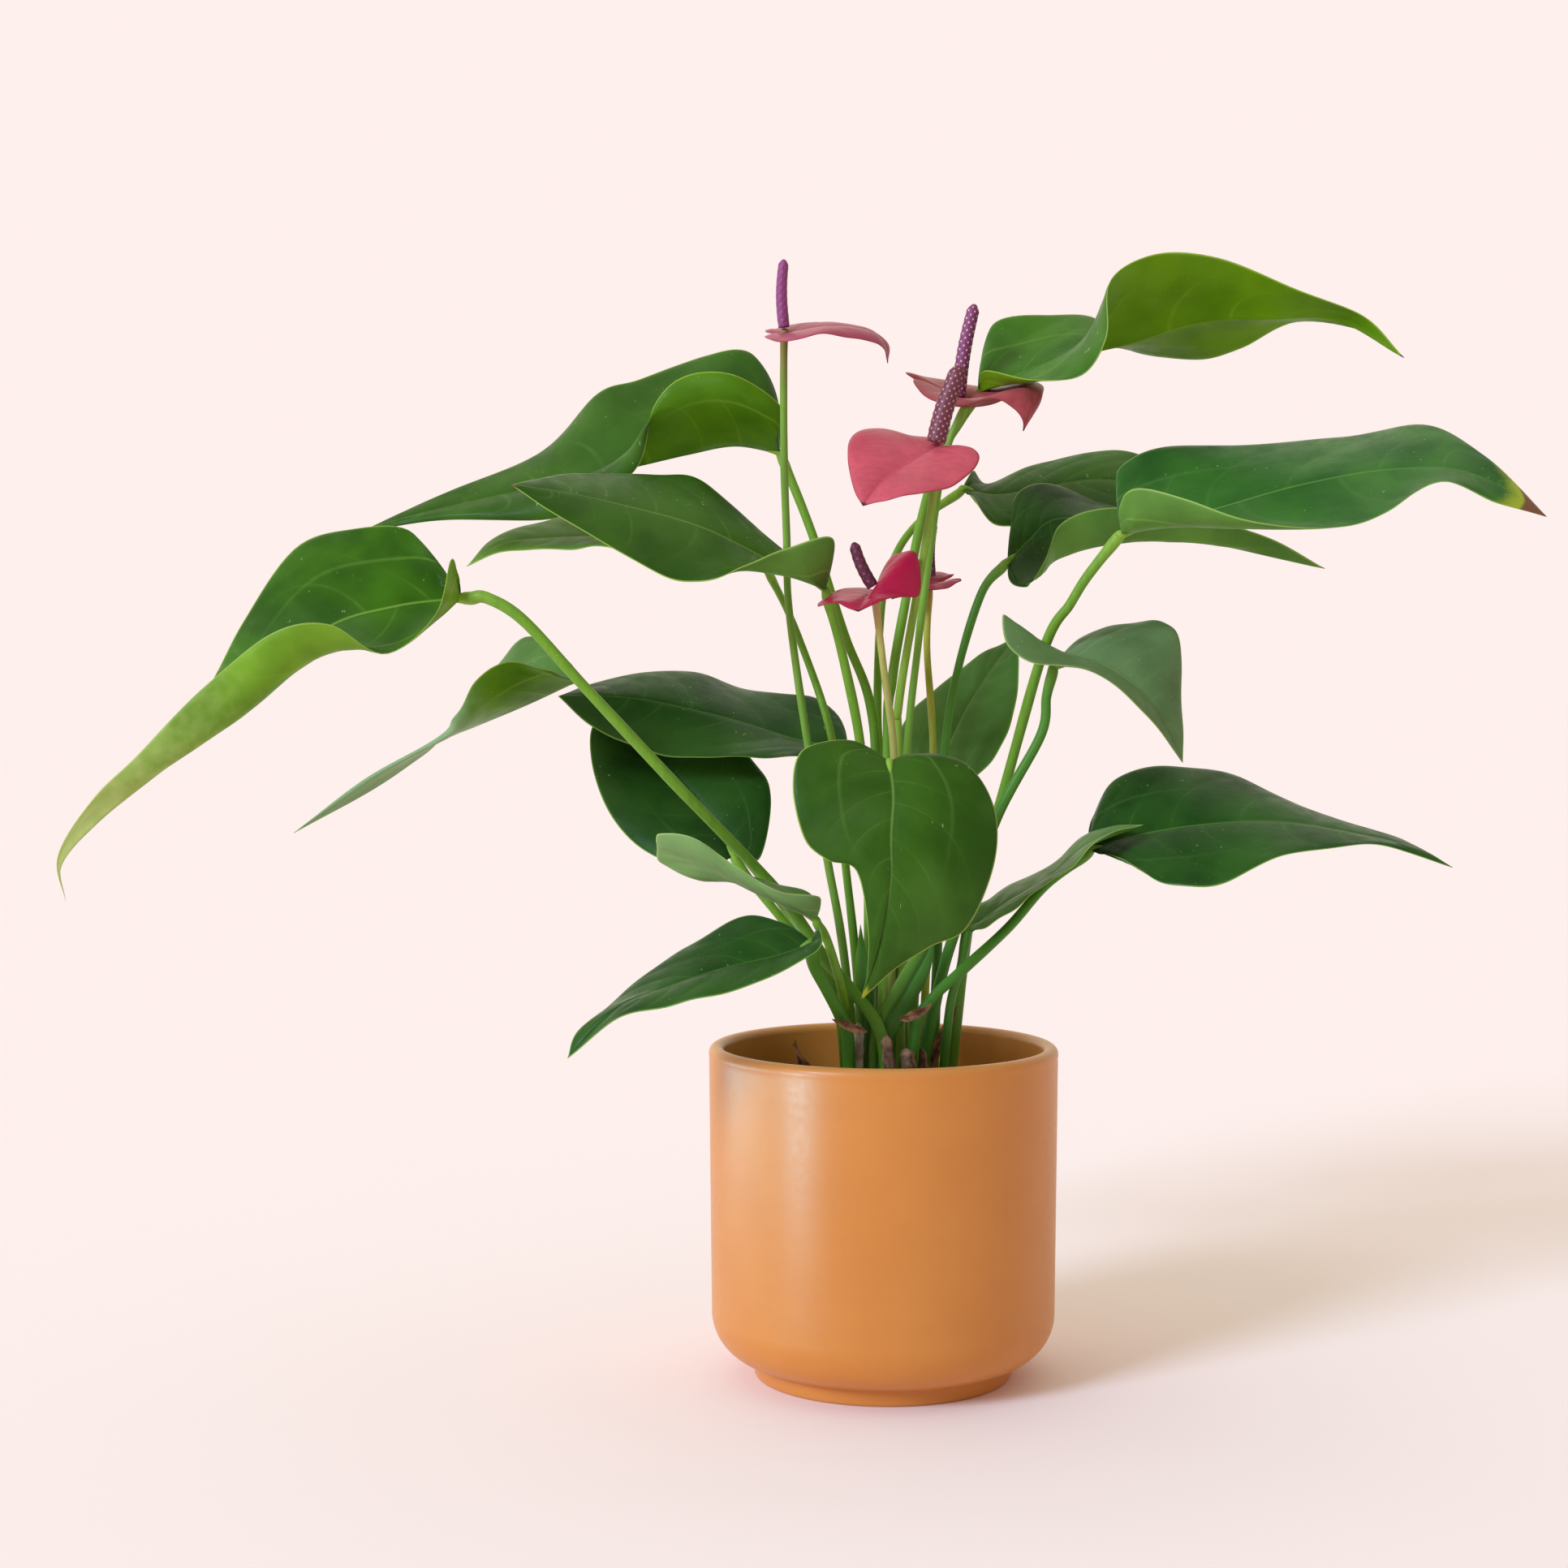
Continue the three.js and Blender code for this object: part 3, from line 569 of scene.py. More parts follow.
LEAF_LOOKS = {  # upper side, under side, then the steps of a dried tip
    "large_left": ("fresh", "yellow", (STRAW, 0.5, 0.45)),
    "slim_left": ("grey", "vivid", (ASH, 0.4, 0.25)),
    "high_left": ("olive", "vivid"), "mid_left": ("olive", "pale", (BROWN, 0.985, 0.01)),
    "back_left": ("light", "bright"), "dark_left": ("deep", "olive"), "low_dark": ("deep", "pale"),
    "rolled": ("grey", "silver"), "low_left": ("deep", "pale"),
    "front_heart": ("olive", "pale", (YELLOW, 0.955, 0.02), (BROWN, 0.99, 0.005)),
    "back_centre": ("grey", "pale"), "small_right": ("dusty", "silver"), "low_right": ("deep", "pale"),
    "long_right": ("blue", "pale", (YELLOW, 0.88, 0.05), (BROWN, 0.935, 0.01)),
    "under_right": ("deep", "pale"), "back_right": ("olive", "pale"),
    "high_right": ("green", "sunlit", (BROWN, 0.99, 0.005)), "narrow_right": ("grey", "pale"),
}
DEEP_STEMS = ("small_right", "low_right", "low_left", "narrow_right", "dark_left", "under_right")

# %% [markdown]
# ## Leaf stems and flower stalks
#
# A leaf stem is round, clearly thicker where it leaves the soil, and swells into a short paler knuckle
# just under the leaf, where it turns the blade to the light. A curve object with a bevel would give one
# thickness only, so each stem is a tube of rings whose radius follows that shape, closed at both ends.

# %% Leaf stems and flower stalks
STEM_SIDES = 20
STEM_RINGS = 90
SOIL_TOP = 101
PLANTED = 3  # how far a stem goes below the top of the soil
KNUCKLE = 9  # length of the swelling under a leaf
RUN_ON = 5  # how far a leaf's stem goes on under the midrib
FOOT_SWELL, FOOT_REACH = 0.4, 55  # how much thicker a stem is at the soil, and how high that fades


def stem_finish(name, low, high, end):
    """Waxy green that runs from one colour at the soil to another, and to a third at the very top."""
    finish = Finish(name, 0.42, IOR=1.42, Specular_IOR_Level=0.3)
    _, along = finish.map("span")
    streaks = finish.cloud(2.2, 3.0, finish.place(stretch=(1, 1, 0.06)))
    colour = finish.mix(finish.step(along, 0.0, 0.75), low, high)
    colour = finish.mix(finish.step(along, 0.9, 0.99), colour, end)
    colour = finish.mix(finish.times(finish.step(streaks, 0.35, 0.75), 0.35), colour, paint("4b7a20"))
    specks = finish.step(finish.cells(5, "F1"), 0.04, 0.08, 1.0, 0.0)
    colour = finish.mix(finish.times(specks, 0.4), colour, paint("a9bd70"))
    finish.set("Base Color", colour)
    finish.glow(0.12, (0.6, 1.0, 0.2))
    finish.bump(streaks, 0.12)
    finish.bump(finish.cloud(0.8), 0.03)
    return finish


def make_stem(name, points, radius, finish, nodes, knuckle=1.2, run_on=0):
    """A stem from below the top of the soil, through its points, to the joint of its leaf."""
    (x, y), *rest = points
    shares = np.linspace(0, 1, STEM_RINGS)
    line = smooth([(x, y, SOIL_TOP - PLANTED), *rest], shares)
    walked = np.r_[0, np.cumsum(np.linalg.norm(np.diff(line, axis=0), axis=1))]
    to_top = walked[-1] - walked
    from_knuckle = (to_top - run_on - KNUCKLE / 2) / (KNUCKLE / 2)
    swell = 1 + FOOT_SWELL * np.exp(-walked / FOOT_REACH) + (knuckle - 1) * np.exp(-from_knuckle**2)
    end = np.sqrt(np.clip(to_top / (run_on + 0.8 * radius), 0, 1)) * (walked > 0)
    chance = np.random.default_rng(len(name))
    uneven = 1 + 0.03 * np.sin(walked / 13 + chance.uniform(0, 6)) + 0.02 * np.sin(walked / 4.7)
    rings = tube(line, 0.94 * radius * swell * end * uneven, STEM_SIDES)
    around = np.linspace(0, 1, STEM_SIDES + 1)
    place = np.stack(np.meshgrid(around, walked / walked[-1], indexing="xy"), -1)
    skin(name, rings, {"span": place}, [finish], nodes)


light_stem = stem_finish("light_leaf_stem", paint("5c8c2a"), paint("74a02c"), paint("8ab03a"))
deep_stem = stem_finish("deep_leaf_stem", paint("3a7820"), paint("4f8628"), paint("7aa038"))


def make_leaf(name, leaf, number):
    """A leaf's blade and the stem that carries it."""
    upper, under, *tips = LEAF_LOOKS[name]
    pair = leaf_pair(f"leaf_{name}", upper, under, tips)
    make_blade(f"leaf_{name}", leaf, pair, [f"blade_{name}"], seed=number)
    joint, ahead = np.array(leaf["rib"][:2], float)
    make_stem(f"leaf_stem_{name}", [*leaf["stem"], joint, joint + RUN_ON * unit(ahead - joint)],
              leaf["stem_radius"], deep_stem if name in DEEP_STEMS else light_stem, [f"petiole_{name}"],
              run_on=RUN_ON)

# %% [markdown]
# ## Leaves on the left
#
# These six lean or fold away from the stems. The lists hold the three lines of each blade and the line of
# its stem from the soil up, as in the CAD model, so that each surface lies where its solid does.

# %% Leaves on the left
LEFT_LEAVES = {
  "large_left": {
    "rib": [[-152, -40, 288], [-174, -46, 285], [-198, -50, 277], [-219, -54, 255],
       [-237, -58, 240], [-257, -61, 225], [-275, -63, 210], [-288, -63, 195], [-287, -62, 182]],
    "right": [[-159, -32, 296], [-172, -26, 313], [-193, -22, 313], [-213, -24, 307],
       [-230, -36, 280], [-240, -47, 257], [-258, -57, 229], [-277, -61, 210], [-288, -63, 196]],
    "left": [[-154, -42, 302], [-158, -60, 282], [-174, -68, 268], [-192, -76, 278],
       [-211, -78, 275], [-236, -71, 257], [-260, -68, 233], [-276, -66, 218], [-289, -64, 198]],
    "left_bow": [[0, 0, 0], [0, 0, 0], [0, -4, -12], [0, -4, -10], [0, 0, 0], [0, 0, 0]],
    "stem": [[2, -31], [-2, -30, 131], [-12, -25, 146], [-23, -23, 159], [-40, -22, 183],
       [-76, -36, 222], [-108, -44, 257], [-129, -45, 280], [-142, -43, 288], [-148, -41, 288]],
    "stem_radius": 2.1,
  },
  "slim_left": {
    "rib": [[-118, 50, 259], [-137, 46, 250], [-156, 44, 242], [-170, 44, 236], [-194, 44, 222],
       [-227, 40, 200]],
    "right": [[-123, 68, 267], [-139, 82, 277], [-149, 84, 269], [-161, 76, 255], [-172, 58, 237],
       [-188, 50, 222]],
    "left": [[-128, 30, 263], [-142, 22, 266], [-154, 22, 259], [-162, 28, 246], [-169, 36, 238],
       [-198, 42, 222]],
    "left_bow": [[0, -4, -2], [0, -6, -3], [0, -2, 0]],
    "stem": [[-11, 8], [-14, 8, 133], [-24, 12, 153], [-42, 26, 179], [-64, 40, 203],
       [-89, 50, 229], [-114, 51, 255]],
    "stem_radius": 1.6,
  },
  "high_left": {
    "rib": [[-39, 42, 347], [-56, 44, 350], [-74, 46, 347], [-93, 50, 343], [-122, 56, 337],
       [-154, 64, 331], [-187, 70, 324], [-207, 74, 318]],
    "right": [[-40, 60, 370], [-50, 68, 389], [-68, 72, 388], [-94, 76, 379], [-112, 78, 373],
       [-136, 78, 350], [-169, 76, 335]],
    "left": [[-41, 32, 355], [-39, 24, 363], [-56, 20, 374], [-73, 22, 375], [-86, 24, 363],
       [-94, 30, 339], [-124, 42, 322], [-167, 62, 323]],
    "left_bow": [[0, -4, 0], [0, -12, 0], [0, -6, 0], [0, 0, 0]],
    "stem": [[-2, 20], [-2, 22, 209], [-4, 25, 249], [-14, 30, 277], [-26, 38, 315], [-37, 42, 343]],
    "stem_radius": 1.8,
  },
  "mid_left": {
    "rib": [[-22, -16, 292], [-43, -14, 303], [-68, -16, 315], [-98, -20, 323], [-118, -24, 327],
       [-135, -28, 329]],
    "right": [[-31, -8, 300], [-45, 0, 314], [-66, 8, 332], [-87, 10, 336], [-117, -4, 335]],
    "left": [[-20, -30, 310], [-37, -40, 305], [-52, -44, 299], [-67, -42, 294], [-85, -40, 298],
       [-110, -36, 313]],
    "left_bow": [[0, -4, -8], [0, -2, -4], [0, 0, 0]],
    "stem": [[-5, -8], [-6, -6, 196], [-9, -8, 236], [-16, -12, 270], [-21, -16, 288]],
    "stem_radius": 1.8,
  },
  "back_left": {
    "rib": [[-44, 52, 302], [-71, 58, 312], [-103, 66, 316], [-130, 74, 316], [-150, 80, 314],
       [-165, 84, 305]],
    "right": [[-50, 72, 313], [-75, 86, 323], [-112, 94, 327], [-131, 94, 324], [-152, 90, 319]],
    "left": [[-53, 36, 301], [-80, 40, 302], [-105, 52, 311], [-122, 58, 310], [-148, 76, 311]],
    "stem": [[-6, 12], [-10, 12, 154], [-14, 11, 191], [-19, 11, 237], [-32, 30, 277], [-42, 50, 299]],
    "stem_radius": 1.5,
  },
  "dark_left": {
    "rib": [[-13, 33, 233], [-31, 31, 236], [-57, 29, 244], [-87, 27, 251], [-105, 25, 253],
       [-123, 25, 253]],
    "right": [[-14, 47, 242], [-25, 55, 252], [-47, 59, 255], [-73, 61, 262], [-104, 47, 260]],
    "left": [[-27, 15, 231], [-46, 8, 230], [-68, 7, 230], [-89, 9, 233], [-109, 17, 241]],
    "stem": [[-5, 6], [-4, 14, 164], [-7, 25, 205], [-13, 32, 230]],
    "stem_radius": 1.6,
  },
}
for number, (name, leaf) in enumerate(LEFT_LEAVES.items(), 1):
    make_leaf(name, leaf, number)
print("leaves on the left:", ", ".join(LEFT_LEAVES))

# %% [markdown]
# ## Leaves low down and in front
#
# The heart-shaped leaf in front hangs with its upper side towards the viewer and shows all its veins. One
# of the low leaves has stayed rolled up, and its end is cut off square.

# %% Leaves low down and in front
LOW_LEAVES = {
  "low_dark": {
    "rib": [[-56, -2, 194], [-66, 10, 209], [-79, 22, 223], [-93, 32, 235], [-103, 40, 246]],
    "right": [[-46, -4, 193], [-42, 12, 214], [-47, 24, 227], [-64, 36, 240], [-87, 42, 246]],
    "left": [[-66, -8, 190], [-85, -4, 194], [-100, 4, 206], [-109, 18, 224], [-111, 34, 241]],
    "right_bow": [[0, -1, 1]],
    "left_bow": [[0, -2, 1]],
    "stem": [[-13, -4], [-17, -8, 139], [-25, -8, 155], [-38, -6, 171], [-48, -4, 183],
       [-54, -3, 191]],
    "stem_radius": 1.6,
  },
  "rolled": {
    "rib": [[-26, -42, 174], [-39, -44, 180], [-53, -46, 187], [-67, -48, 195], [-82, -46, 200]],
    "right": [[-27, -30, 182], [-42, -28, 186], [-55, -32, 189], [-68, -40, 188], [-81, -42, 194]],
    "left": [[-24, -46, 182], [-39, -54, 185], [-54, -56, 194], [-69, -56, 204], [-81, -52, 205]],
    "left_bow": [[0, -3, -2]],
    "stem": [[-12, -12], [-13, -19, 132], [-15, -27, 142], [-17, -33, 151], [-19, -35, 158],
       [-22, -38, 167], [-25, -42, 172]],
    "stem_radius": 1.5,
  },
  "low_left": {
    "rib": [[-27, -50, 166], [-40, -54, 162], [-59, -58, 158], [-78, -62, 152], [-95, -66, 145],
       [-112, -68, 128]],
    "right": [[-32, -44, 169], [-49, -34, 175], [-71, -36, 164], [-90, -48, 151], [-108, -62, 138]],
    "left": [[-25, -62, 173], [-27, -72, 164], [-50, -78, 154], [-72, -78, 149], [-94, -74, 142]],
    "stem": [[-13, -31], [-14, -32, 130], [-17, -34, 139], [-22, -38, 149], [-26, -43, 157],
       [-27, -48, 163]],
    "stem_radius": 2.1,
  },
  "front_heart": {
    "rib": [[0, -52, 230], [1, -61, 219], [0, -68, 205], [0, -70, 190], [-3, -67, 171],
       [-10, -58, 147]],
    "right": [[-13, -48, 237], [-30, -56, 235], [-34, -62, 222], [-30, -66, 204], [-22, -66, 197],
       [-12, -68, 193], [-8, -66, 171], [-8, -62, 157]],
    "left": [[12, -44, 233], [27, -48, 230], [37, -56, 213], [35, -62, 192], [26, -64, 172],
       [13, -64, 166], [0, -61, 157]],
    "right_bow": [[0, -1, 0]],
    "left_bow": [[0, -2, 1]],
    "stem": [[-1, -18], [-1, -30, 182], [0, -42, 217], [0, -50, 227]],
    "stem_radius": 1.7,
  },
  "back_centre": {
    "rib": [[21, 40, 218], [28, 46, 235], [36, 54, 250], [46, 60, 265], [56, 66, 277]],
    "right": [[31, 32, 220], [44, 34, 229], [52, 42, 246], [55, 54, 265]],
    "left": [[9, 50, 225], [10, 60, 242], [22, 66, 255], [43, 68, 270]],
    "stem": [[10, 15], [15, 28, 171], [18, 35, 199], [20, 39, 215]],
    "stem_radius": 1.6,
  },
  "narrow_right": {
    "rib": [[31, -12, 167], [43, -12, 176], [60, -12, 186], [74, -12, 198], [95, -12, 206]],
    "right": [[36, -26, 170], [49, -34, 179], [63, -32, 190], [80, -20, 202]],
    "left": [[32, 0, 172], [42, 10, 179], [62, 12, 188], [78, 4, 203]],
    "stem": [[20, -15], [24, -12, 138], [28, -11, 153], [30, -12, 165]],
    "stem_radius": 1.5,
  },
}
for number, (name, leaf) in enumerate(LOW_LEAVES.items(), 7):
    make_leaf(name, leaf, number)
print("leaves low down and in front:", ", ".join(LOW_LEAVES))

# %% [markdown]
# ## Leaves on the right
#
# The longest leaf is here: its near half is folded so far that its under side shows, and its tip has
# dried. The highest one stands against the light.

# %% Leaves on the right
RIGHT_LEAVES = {
  "small_right": {
    "rib": [[62, -14, 264], [75, -16, 266], [88, -18, 259], [98, -20, 248], [108, -20, 229]],
    "right": [[51, -18, 273], [43, -16, 283], [44, -26, 272], [54, -34, 264], [74, -36, 262],
       [93, -30, 247]],
    "left": [[71, 4, 272], [86, 12, 280], [103, 12, 281], [110, 6, 275], [110, -6, 255]],
    "stem": [[10, -14], [21, -14, 151], [30, -14, 178], [42, -14, 211], [57, -14, 239],
       [59, -14, 253], [61, -14, 261]],
    "stem_radius": 1.9,
  },
  "low_right": {
    "rib": [[77, 0, 196], [96, -4, 202], [120, -8, 206], [146, -12, 207], [172, -16, 203],
       [193, -20, 198], [206, -22, 191]],
    "right": [[87, -18, 193], [101, -34, 186], [120, -40, 187], [143, -36, 196], [175, -28, 200]],
    "left": [[79, 14, 207], [89, 24, 221], [110, 28, 226], [135, 26, 223], [162, 10, 210],
       [192, -12, 199]],
    "stem": [[8, -28], [11, -28, 133], [17, -27, 144], [27, -24, 153], [45, -14, 168],
       [60, -4, 183], [75, -1, 194]],
    "stem_radius": 1.8,
  },
  "long_right": {
    "rib": [[86, -16, 312], [103, -18, 316], [123, -22, 322], [148, -26, 329], [176, -30, 334],
       [202, -34, 334], [220, -36, 327], [234, -38, 317]],
    "right": [[84, -28, 322], [88, -36, 327], [104, -46, 323], [124, -56, 315], [152, -58, 312],
       [174, -54, 317], [194, -48, 329], [215, -42, 322]],
    "left": [[88, -2, 329], [88, 3, 338], [107, 10, 347], [137, 12, 347], [170, 8, 349],
       [199, -2, 353], [216, -24, 340]],
    "right_bow": [[0, -3, -4], [0, -3, -6], [0, 0, 0]],
    "stem": [[24, 7], [34, 8, 180], [44, 2, 215], [59, -6, 271], [68, -10, 287], [74, -12, 297],
       [84, -15, 310]],
    "stem_radius": 2.0,
  },
  "under_right": {
    "rib": [[48, 24, 304], [57, 30, 313], [67, 38, 321], [87, 42, 321], [112, 41, 316],
       [142, 38, 309], [171, 36, 302]],
    "right": [[48, 14, 297], [54, 8, 294], [60, 6, 303], [66, 12, 317], [84, 18, 324],
       [115, 26, 322], [148, 33, 314]],
    "left": [[52, 34, 316], [52, 46, 329], [64, 56, 336], [90, 66, 330], [118, 64, 323],
       [148, 50, 313]],
    "right_bow": [[0, 0, 0], [0, -4, -6], [0, -6, -15], [0, -3, -10], [0, 0, 0]],
    "stem": [[19, 14], [22, 18, 179], [24, 20, 232], [29, 22, 263], [38, 24, 292], [46, 24, 302]],
    "stem_radius": 1.7,
  },
  "back_right": {
    "rib": [[33, 54, 334], [47, 60, 332], [67, 70, 336], [92, 84, 340], [133, 106, 337]],
    "right": [[37, 44, 328], [47, 42, 319], [72, 56, 322], [104, 80, 330]],
    "left": [[38, 66, 342], [45, 74, 338], [69, 90, 347], [98, 104, 354], [122, 110, 347]],
    "stem": [[4, 26], [1, 32, 209], [-1, 35, 249], [1, 42, 290], [7, 46, 309], [17, 50, 322],
       [31, 54, 332]],
    "stem_radius": 1.6,
  },
  "high_right": {
    "rib": [[36, 14, 367], [55, 12, 375], [76, 10, 381], [94, 8, 385], [118, 6, 392],
       [142, 4, 393], [168, 2, 392], [192, 0, 378]],
    "right": [[38, 4, 374], [54, -16, 368], [71, -22, 369], [79, -26, 382], [81, -24, 403],
       [96, -20, 413], [120, -16, 412], [148, -10, 402], [176, -3, 393]],
    "left": [[39, 28, 382], [44, 36, 396], [64, 40, 399], [83, 42, 399], [98, 36, 385],
       [119, 30, 381], [136, 22, 384], [155, 12, 393], [181, 3, 388]],
    "stem": [[4, 2], [2, 14, 231], [4, 18, 260], [9, 20, 289], [15, 20, 320], [22, 18, 344],
       [29, 16, 356], [34, 14, 364]],
    "stem_radius": 1.9,
  },
}
for number, (name, leaf) in enumerate(RIGHT_LEAVES.items(), 13):
    make_leaf(name, leaf, number)
print("leaves on the right:", ", ".join(RIGHT_LEAVES))

# %% [markdown]
# ## Flowers
#
# What looks like a petal is a coloured leaf, the spathe, and the real flowers are the tiny bumps on the
# finger that stands on it. The spathe is made by the same leaf surface, with fewer and deeper veins and a
# waxy shine. The spike is a tube of rings whose radius carries the bumps: they sit in a staggered pattern,
# as bricks do, which is the product of one wave round the spike and one along it.

# %% Flower finish
SPATHE_VEINS = 7


def spathe_finish(name, colour, edge, cusp):
    """Waxy pink with faint darker streaks, a darker edge, and a dark point at the tip."""
    finish = Finish(name, 0.36, IOR=1.42, Specular_IOR_Level=0.25)
    along, _ = finish.map("span")
    from_rib, from_edge = finish.map("reach")
    lines = vein_lines(finish, SPATHE_VEINS, 0.1)
    streaks = finish.cloud(1.6, 3.0, finish.place(stretch=(0.35, 1, 1)))
    mottle = finish.step(finish.cloud(9, 3.0), 0.3, 0.7)
    tone = finish.mix(mottle, colour, finish.mix(0.22, colour, edge))
    tone = finish.mix(finish.step(streaks, 0.4, 0.75, 0.0, 0.25), tone, edge)
    tone = finish.mix(finish.times(lines, 0.1), tone, edge)
    tone = finish.mix(finish.step(from_rib, 0.3, 1.0, 0.12, 0.0), tone, edge)
    tone = finish.mix(finish.step(from_edge, 0.1, 0.6, 0.6, 0.0), tone, edge)
    tone = finish.mix(finish.step(along, 0.955, 0.985), tone, cusp)
    finish.set("Base Color", tone)
    finish.glow(0.15, (1.0, 0.4, 0.35))
    finish.bump(finish.cells(1.3), 0.05)
    finish.bump(finish.cloud(3.0, 3.0), 0.2)
    finish.bump(lines, -0.05)
    return finish


# %% Spike
BUMP_SIZE = 1.45  # millimetres from one ring of bumps to the next, and half the gap round the spike
BUMP_SIDES, BUMP_ROWS = 12, 9  # steps of the mesh round and along one bump
SPIKE_SWAY = np.array([-0.9, 0.2, 0.0])  # how far the middle of a spike bows out


def spike_finish(name, skin_colour, groove, dot):
    """Purple with a pale dot on the crown of each bump."""
    finish = Finish(name, 0.5)
    around, along = finish.map("span")
    wave_round = finish.math("COSINE", finish.times(around, 2 * math.pi))
    wave_along = finish.math("COSINE", finish.times(along, math.pi))
    wave = finish.times(wave_round, wave_along)
    colour = finish.mix(finish.step(wave, -0.2, 0.2), groove, skin_colour)
    colour = finish.mix(finish.step(wave, 0.62, 0.82), colour, dot)
    colour = finish.mix(finish.times(finish.step(finish.cloud(3), 0.4, 0.7), 0.3), colour, groove)
    finish.set("Base Color", colour)
    finish.bump(finish.step(wave, -0.2, 0.9), 0.25)
    finish.bump(finish.cloud(0.5), 0.05)
    return finish


def make_spike(name, spike, radius, finish, nodes, bump):
    """A blunt finger covered with bumps in a staggered pattern."""
    base, tip = np.array(spike, float)
    length = np.linalg.norm(tip - base)
    count = round(np.pi * radius / BUMP_SIZE)
    share = np.linspace(0, 1, round(length / BUMP_SIZE * BUMP_ROWS))
    turn = np.linspace(0, 1, count * BUMP_SIDES + 1)
    taper = np.interp(share, [0, 0.12, 0.5, 0.85, 1], [0.95, 1.0, 0.97, 0.9, 0.84])
    end = np.sqrt(np.clip((1 - share) * length / (0.9 * radius), 0, 1))
    along = share * length / BUMP_SIZE
    wave = np.cos(2 * np.pi * turn * count)[None] * np.cos(np.pi * along)[:, None]
    height = bump * np.clip(wave, 0, 1) ** 0.6
    radii = (taper * radius - bump)[:, None] * end[:, None] + height * end[:, None]
    radii[0] = 0
    line = base + (tip - base) * share[:, None]
    sway = np.sin(share * np.pi)[:, None] * SPIKE_SWAY
    rings = tube(line + sway, radii, count * BUMP_SIDES)
    place = np.stack(np.meshgrid(turn * count, along, indexing="xy"), -1)
    return skin(name, rings, {"span": place}, [finish], nodes)

# %% The five flowers
FLOWERS = {
  "tall_left": {
    "rib": [[-36, -1, 386], [-24, -4, 388], [-13, -6, 388], [-4, -7, 386], [0, -8, 381], [1, -8, 375]],
    "right": [[-44, -9, 385], [-37, -21, 381], [-24, -24, 383], [-10, -18, 383], [-1, -12, 380]],
    "left": [[-44, 8, 389], [-37, 18, 391], [-22, 14, 392], [-9, 6, 389], [1, -2, 383]],
    "spike": [[-37, -1, 389], [-37, -1, 414]],
    "spike_radius": 2.2,
    "stem": [[-8, -4], [-15, -2, 159], [-21, -2, 193], [-28, -1, 234], [-35, 2, 284], [-36, 5, 312],
       [-37, 4, 343], [-37, 1, 384]],
    "stem_radius": 1.5,
  },
  "back": {
    "rib": [[31, 8, 361], [40, 5, 362], [48, 0, 365], [53, -5, 366], [54, -9, 359], [50.5, -10, 350]],
    "right": [[12, 4, 370], [13, -6, 365], [21, -12, 360], [30, -13, 359], [39, -13, 361],
       [46, -13, 359], [50, -12, 354]],
    "left": [[9, 18, 374], [20, 28, 374], [40, 30, 369], [56, 20, 371], [59, 1, 366]],
    "spike": [[28, 8, 364.6], [34, 8, 399]],
    "spike_radius": 2.8,
    "stem": [[8, 0], [8, 4, 180], [9, 7, 232], [13, 8, 271], [15, 8, 288], [19, 8, 319],
       [23, 8, 343], [29, 8, 358]],
    "stem_radius": 1.5,
  },
  "front": {
    "rib": [[18, -20, 343], [8, -26, 337], [-2, -32, 330], [-9, -36, 321]],
    "right": [[22, -10, 346], [11, -4, 349], [-2, -6, 351], [-12, -14, 348], [-14, -24, 339],
       [-12, -32, 327]],
    "left": [[29, -24, 343], [33, -30, 338], [26, -38, 330], [14, -44, 325], [1, -44, 323]],
    "spike": [[18, -21, 345], [27, -20, 373]],
    "spike_radius": 3.7,
    "stem": [[6, -12], [5, -10, 229], [5, -12, 250], [11, -16, 288], [17, -20, 325], [18, -20, 340]],
    "stem_radius": 1.6,
  },
  "low": {
    "rib": [[-4, -28, 289], [-8, -40, 288], [-11, -52, 283]],
    "right": [[-5, -16, 292], [-18, -18, 291], [-25, -30, 286], [-19, -44, 286]],
    "left": [[0, -16, 300], [5, -20, 305], [11, -26, 304], [11, -36, 289], [0, -46, 288]],
    "spike": [[-5, -29, 292.5], [-12, -30, 308.5]],
    "spike_radius": 2.3,
    "stem": [[1, -8], [3, -16, 181], [3, -20, 231], [-1, -26, 263], [-4, -28, 287]],
    "stem_radius": 1.4,
  },
  "hidden": {
    "rib": [[19, 38, 294], [15, 34, 295], [9, 30, 295], [4, 28, 290]],
    "right": [[29, 46, 300], [22, 52, 301], [12, 46, 298]],
    "left": [[31, 36, 298], [24, 28, 294], [13, 26, 292]],
    "spike": [[20, 39, 299], [21, 39, 320]],
    "spike_radius": 1.8,
    "stem": [[14, 6], [18, 14, 179], [20, 27, 232], [18, 35, 271], [19, 38, 292]],
    "stem_radius": 1.4,
  },
}
CUSP = paint("3a1520")
SPATHE_PAINTS = {  # upper side, under side, edge
    "tall_left": ("ac4c5e", "b85c68", "a04458"), "back": ("ac4c50", "b45c5c", "8c3440"),
    "front": ("cc5662", "c45c68", "963442"), "low": ("b01c40", "d0606e", "981840"),
    "hidden": ("b8405a", "c0566c", "9c3450"),
}
SPIKE_PAINTS = {  # skin, grooves, dots, height of the bumps in millimetres
    "tall_left": ("96407a", "8c3a72", "9a447e", 0.06), "back": ("8c3a68", "7a3060", "ecc0cc", 0.2),
    "front": ("7a3444", "682a3c", "d89c98", 0.2), "low": ("6c2440", "541a34", "7c3450", 0.1),
    "hidden": ("642438", "4a1a2c", "905058", 0.15),
}
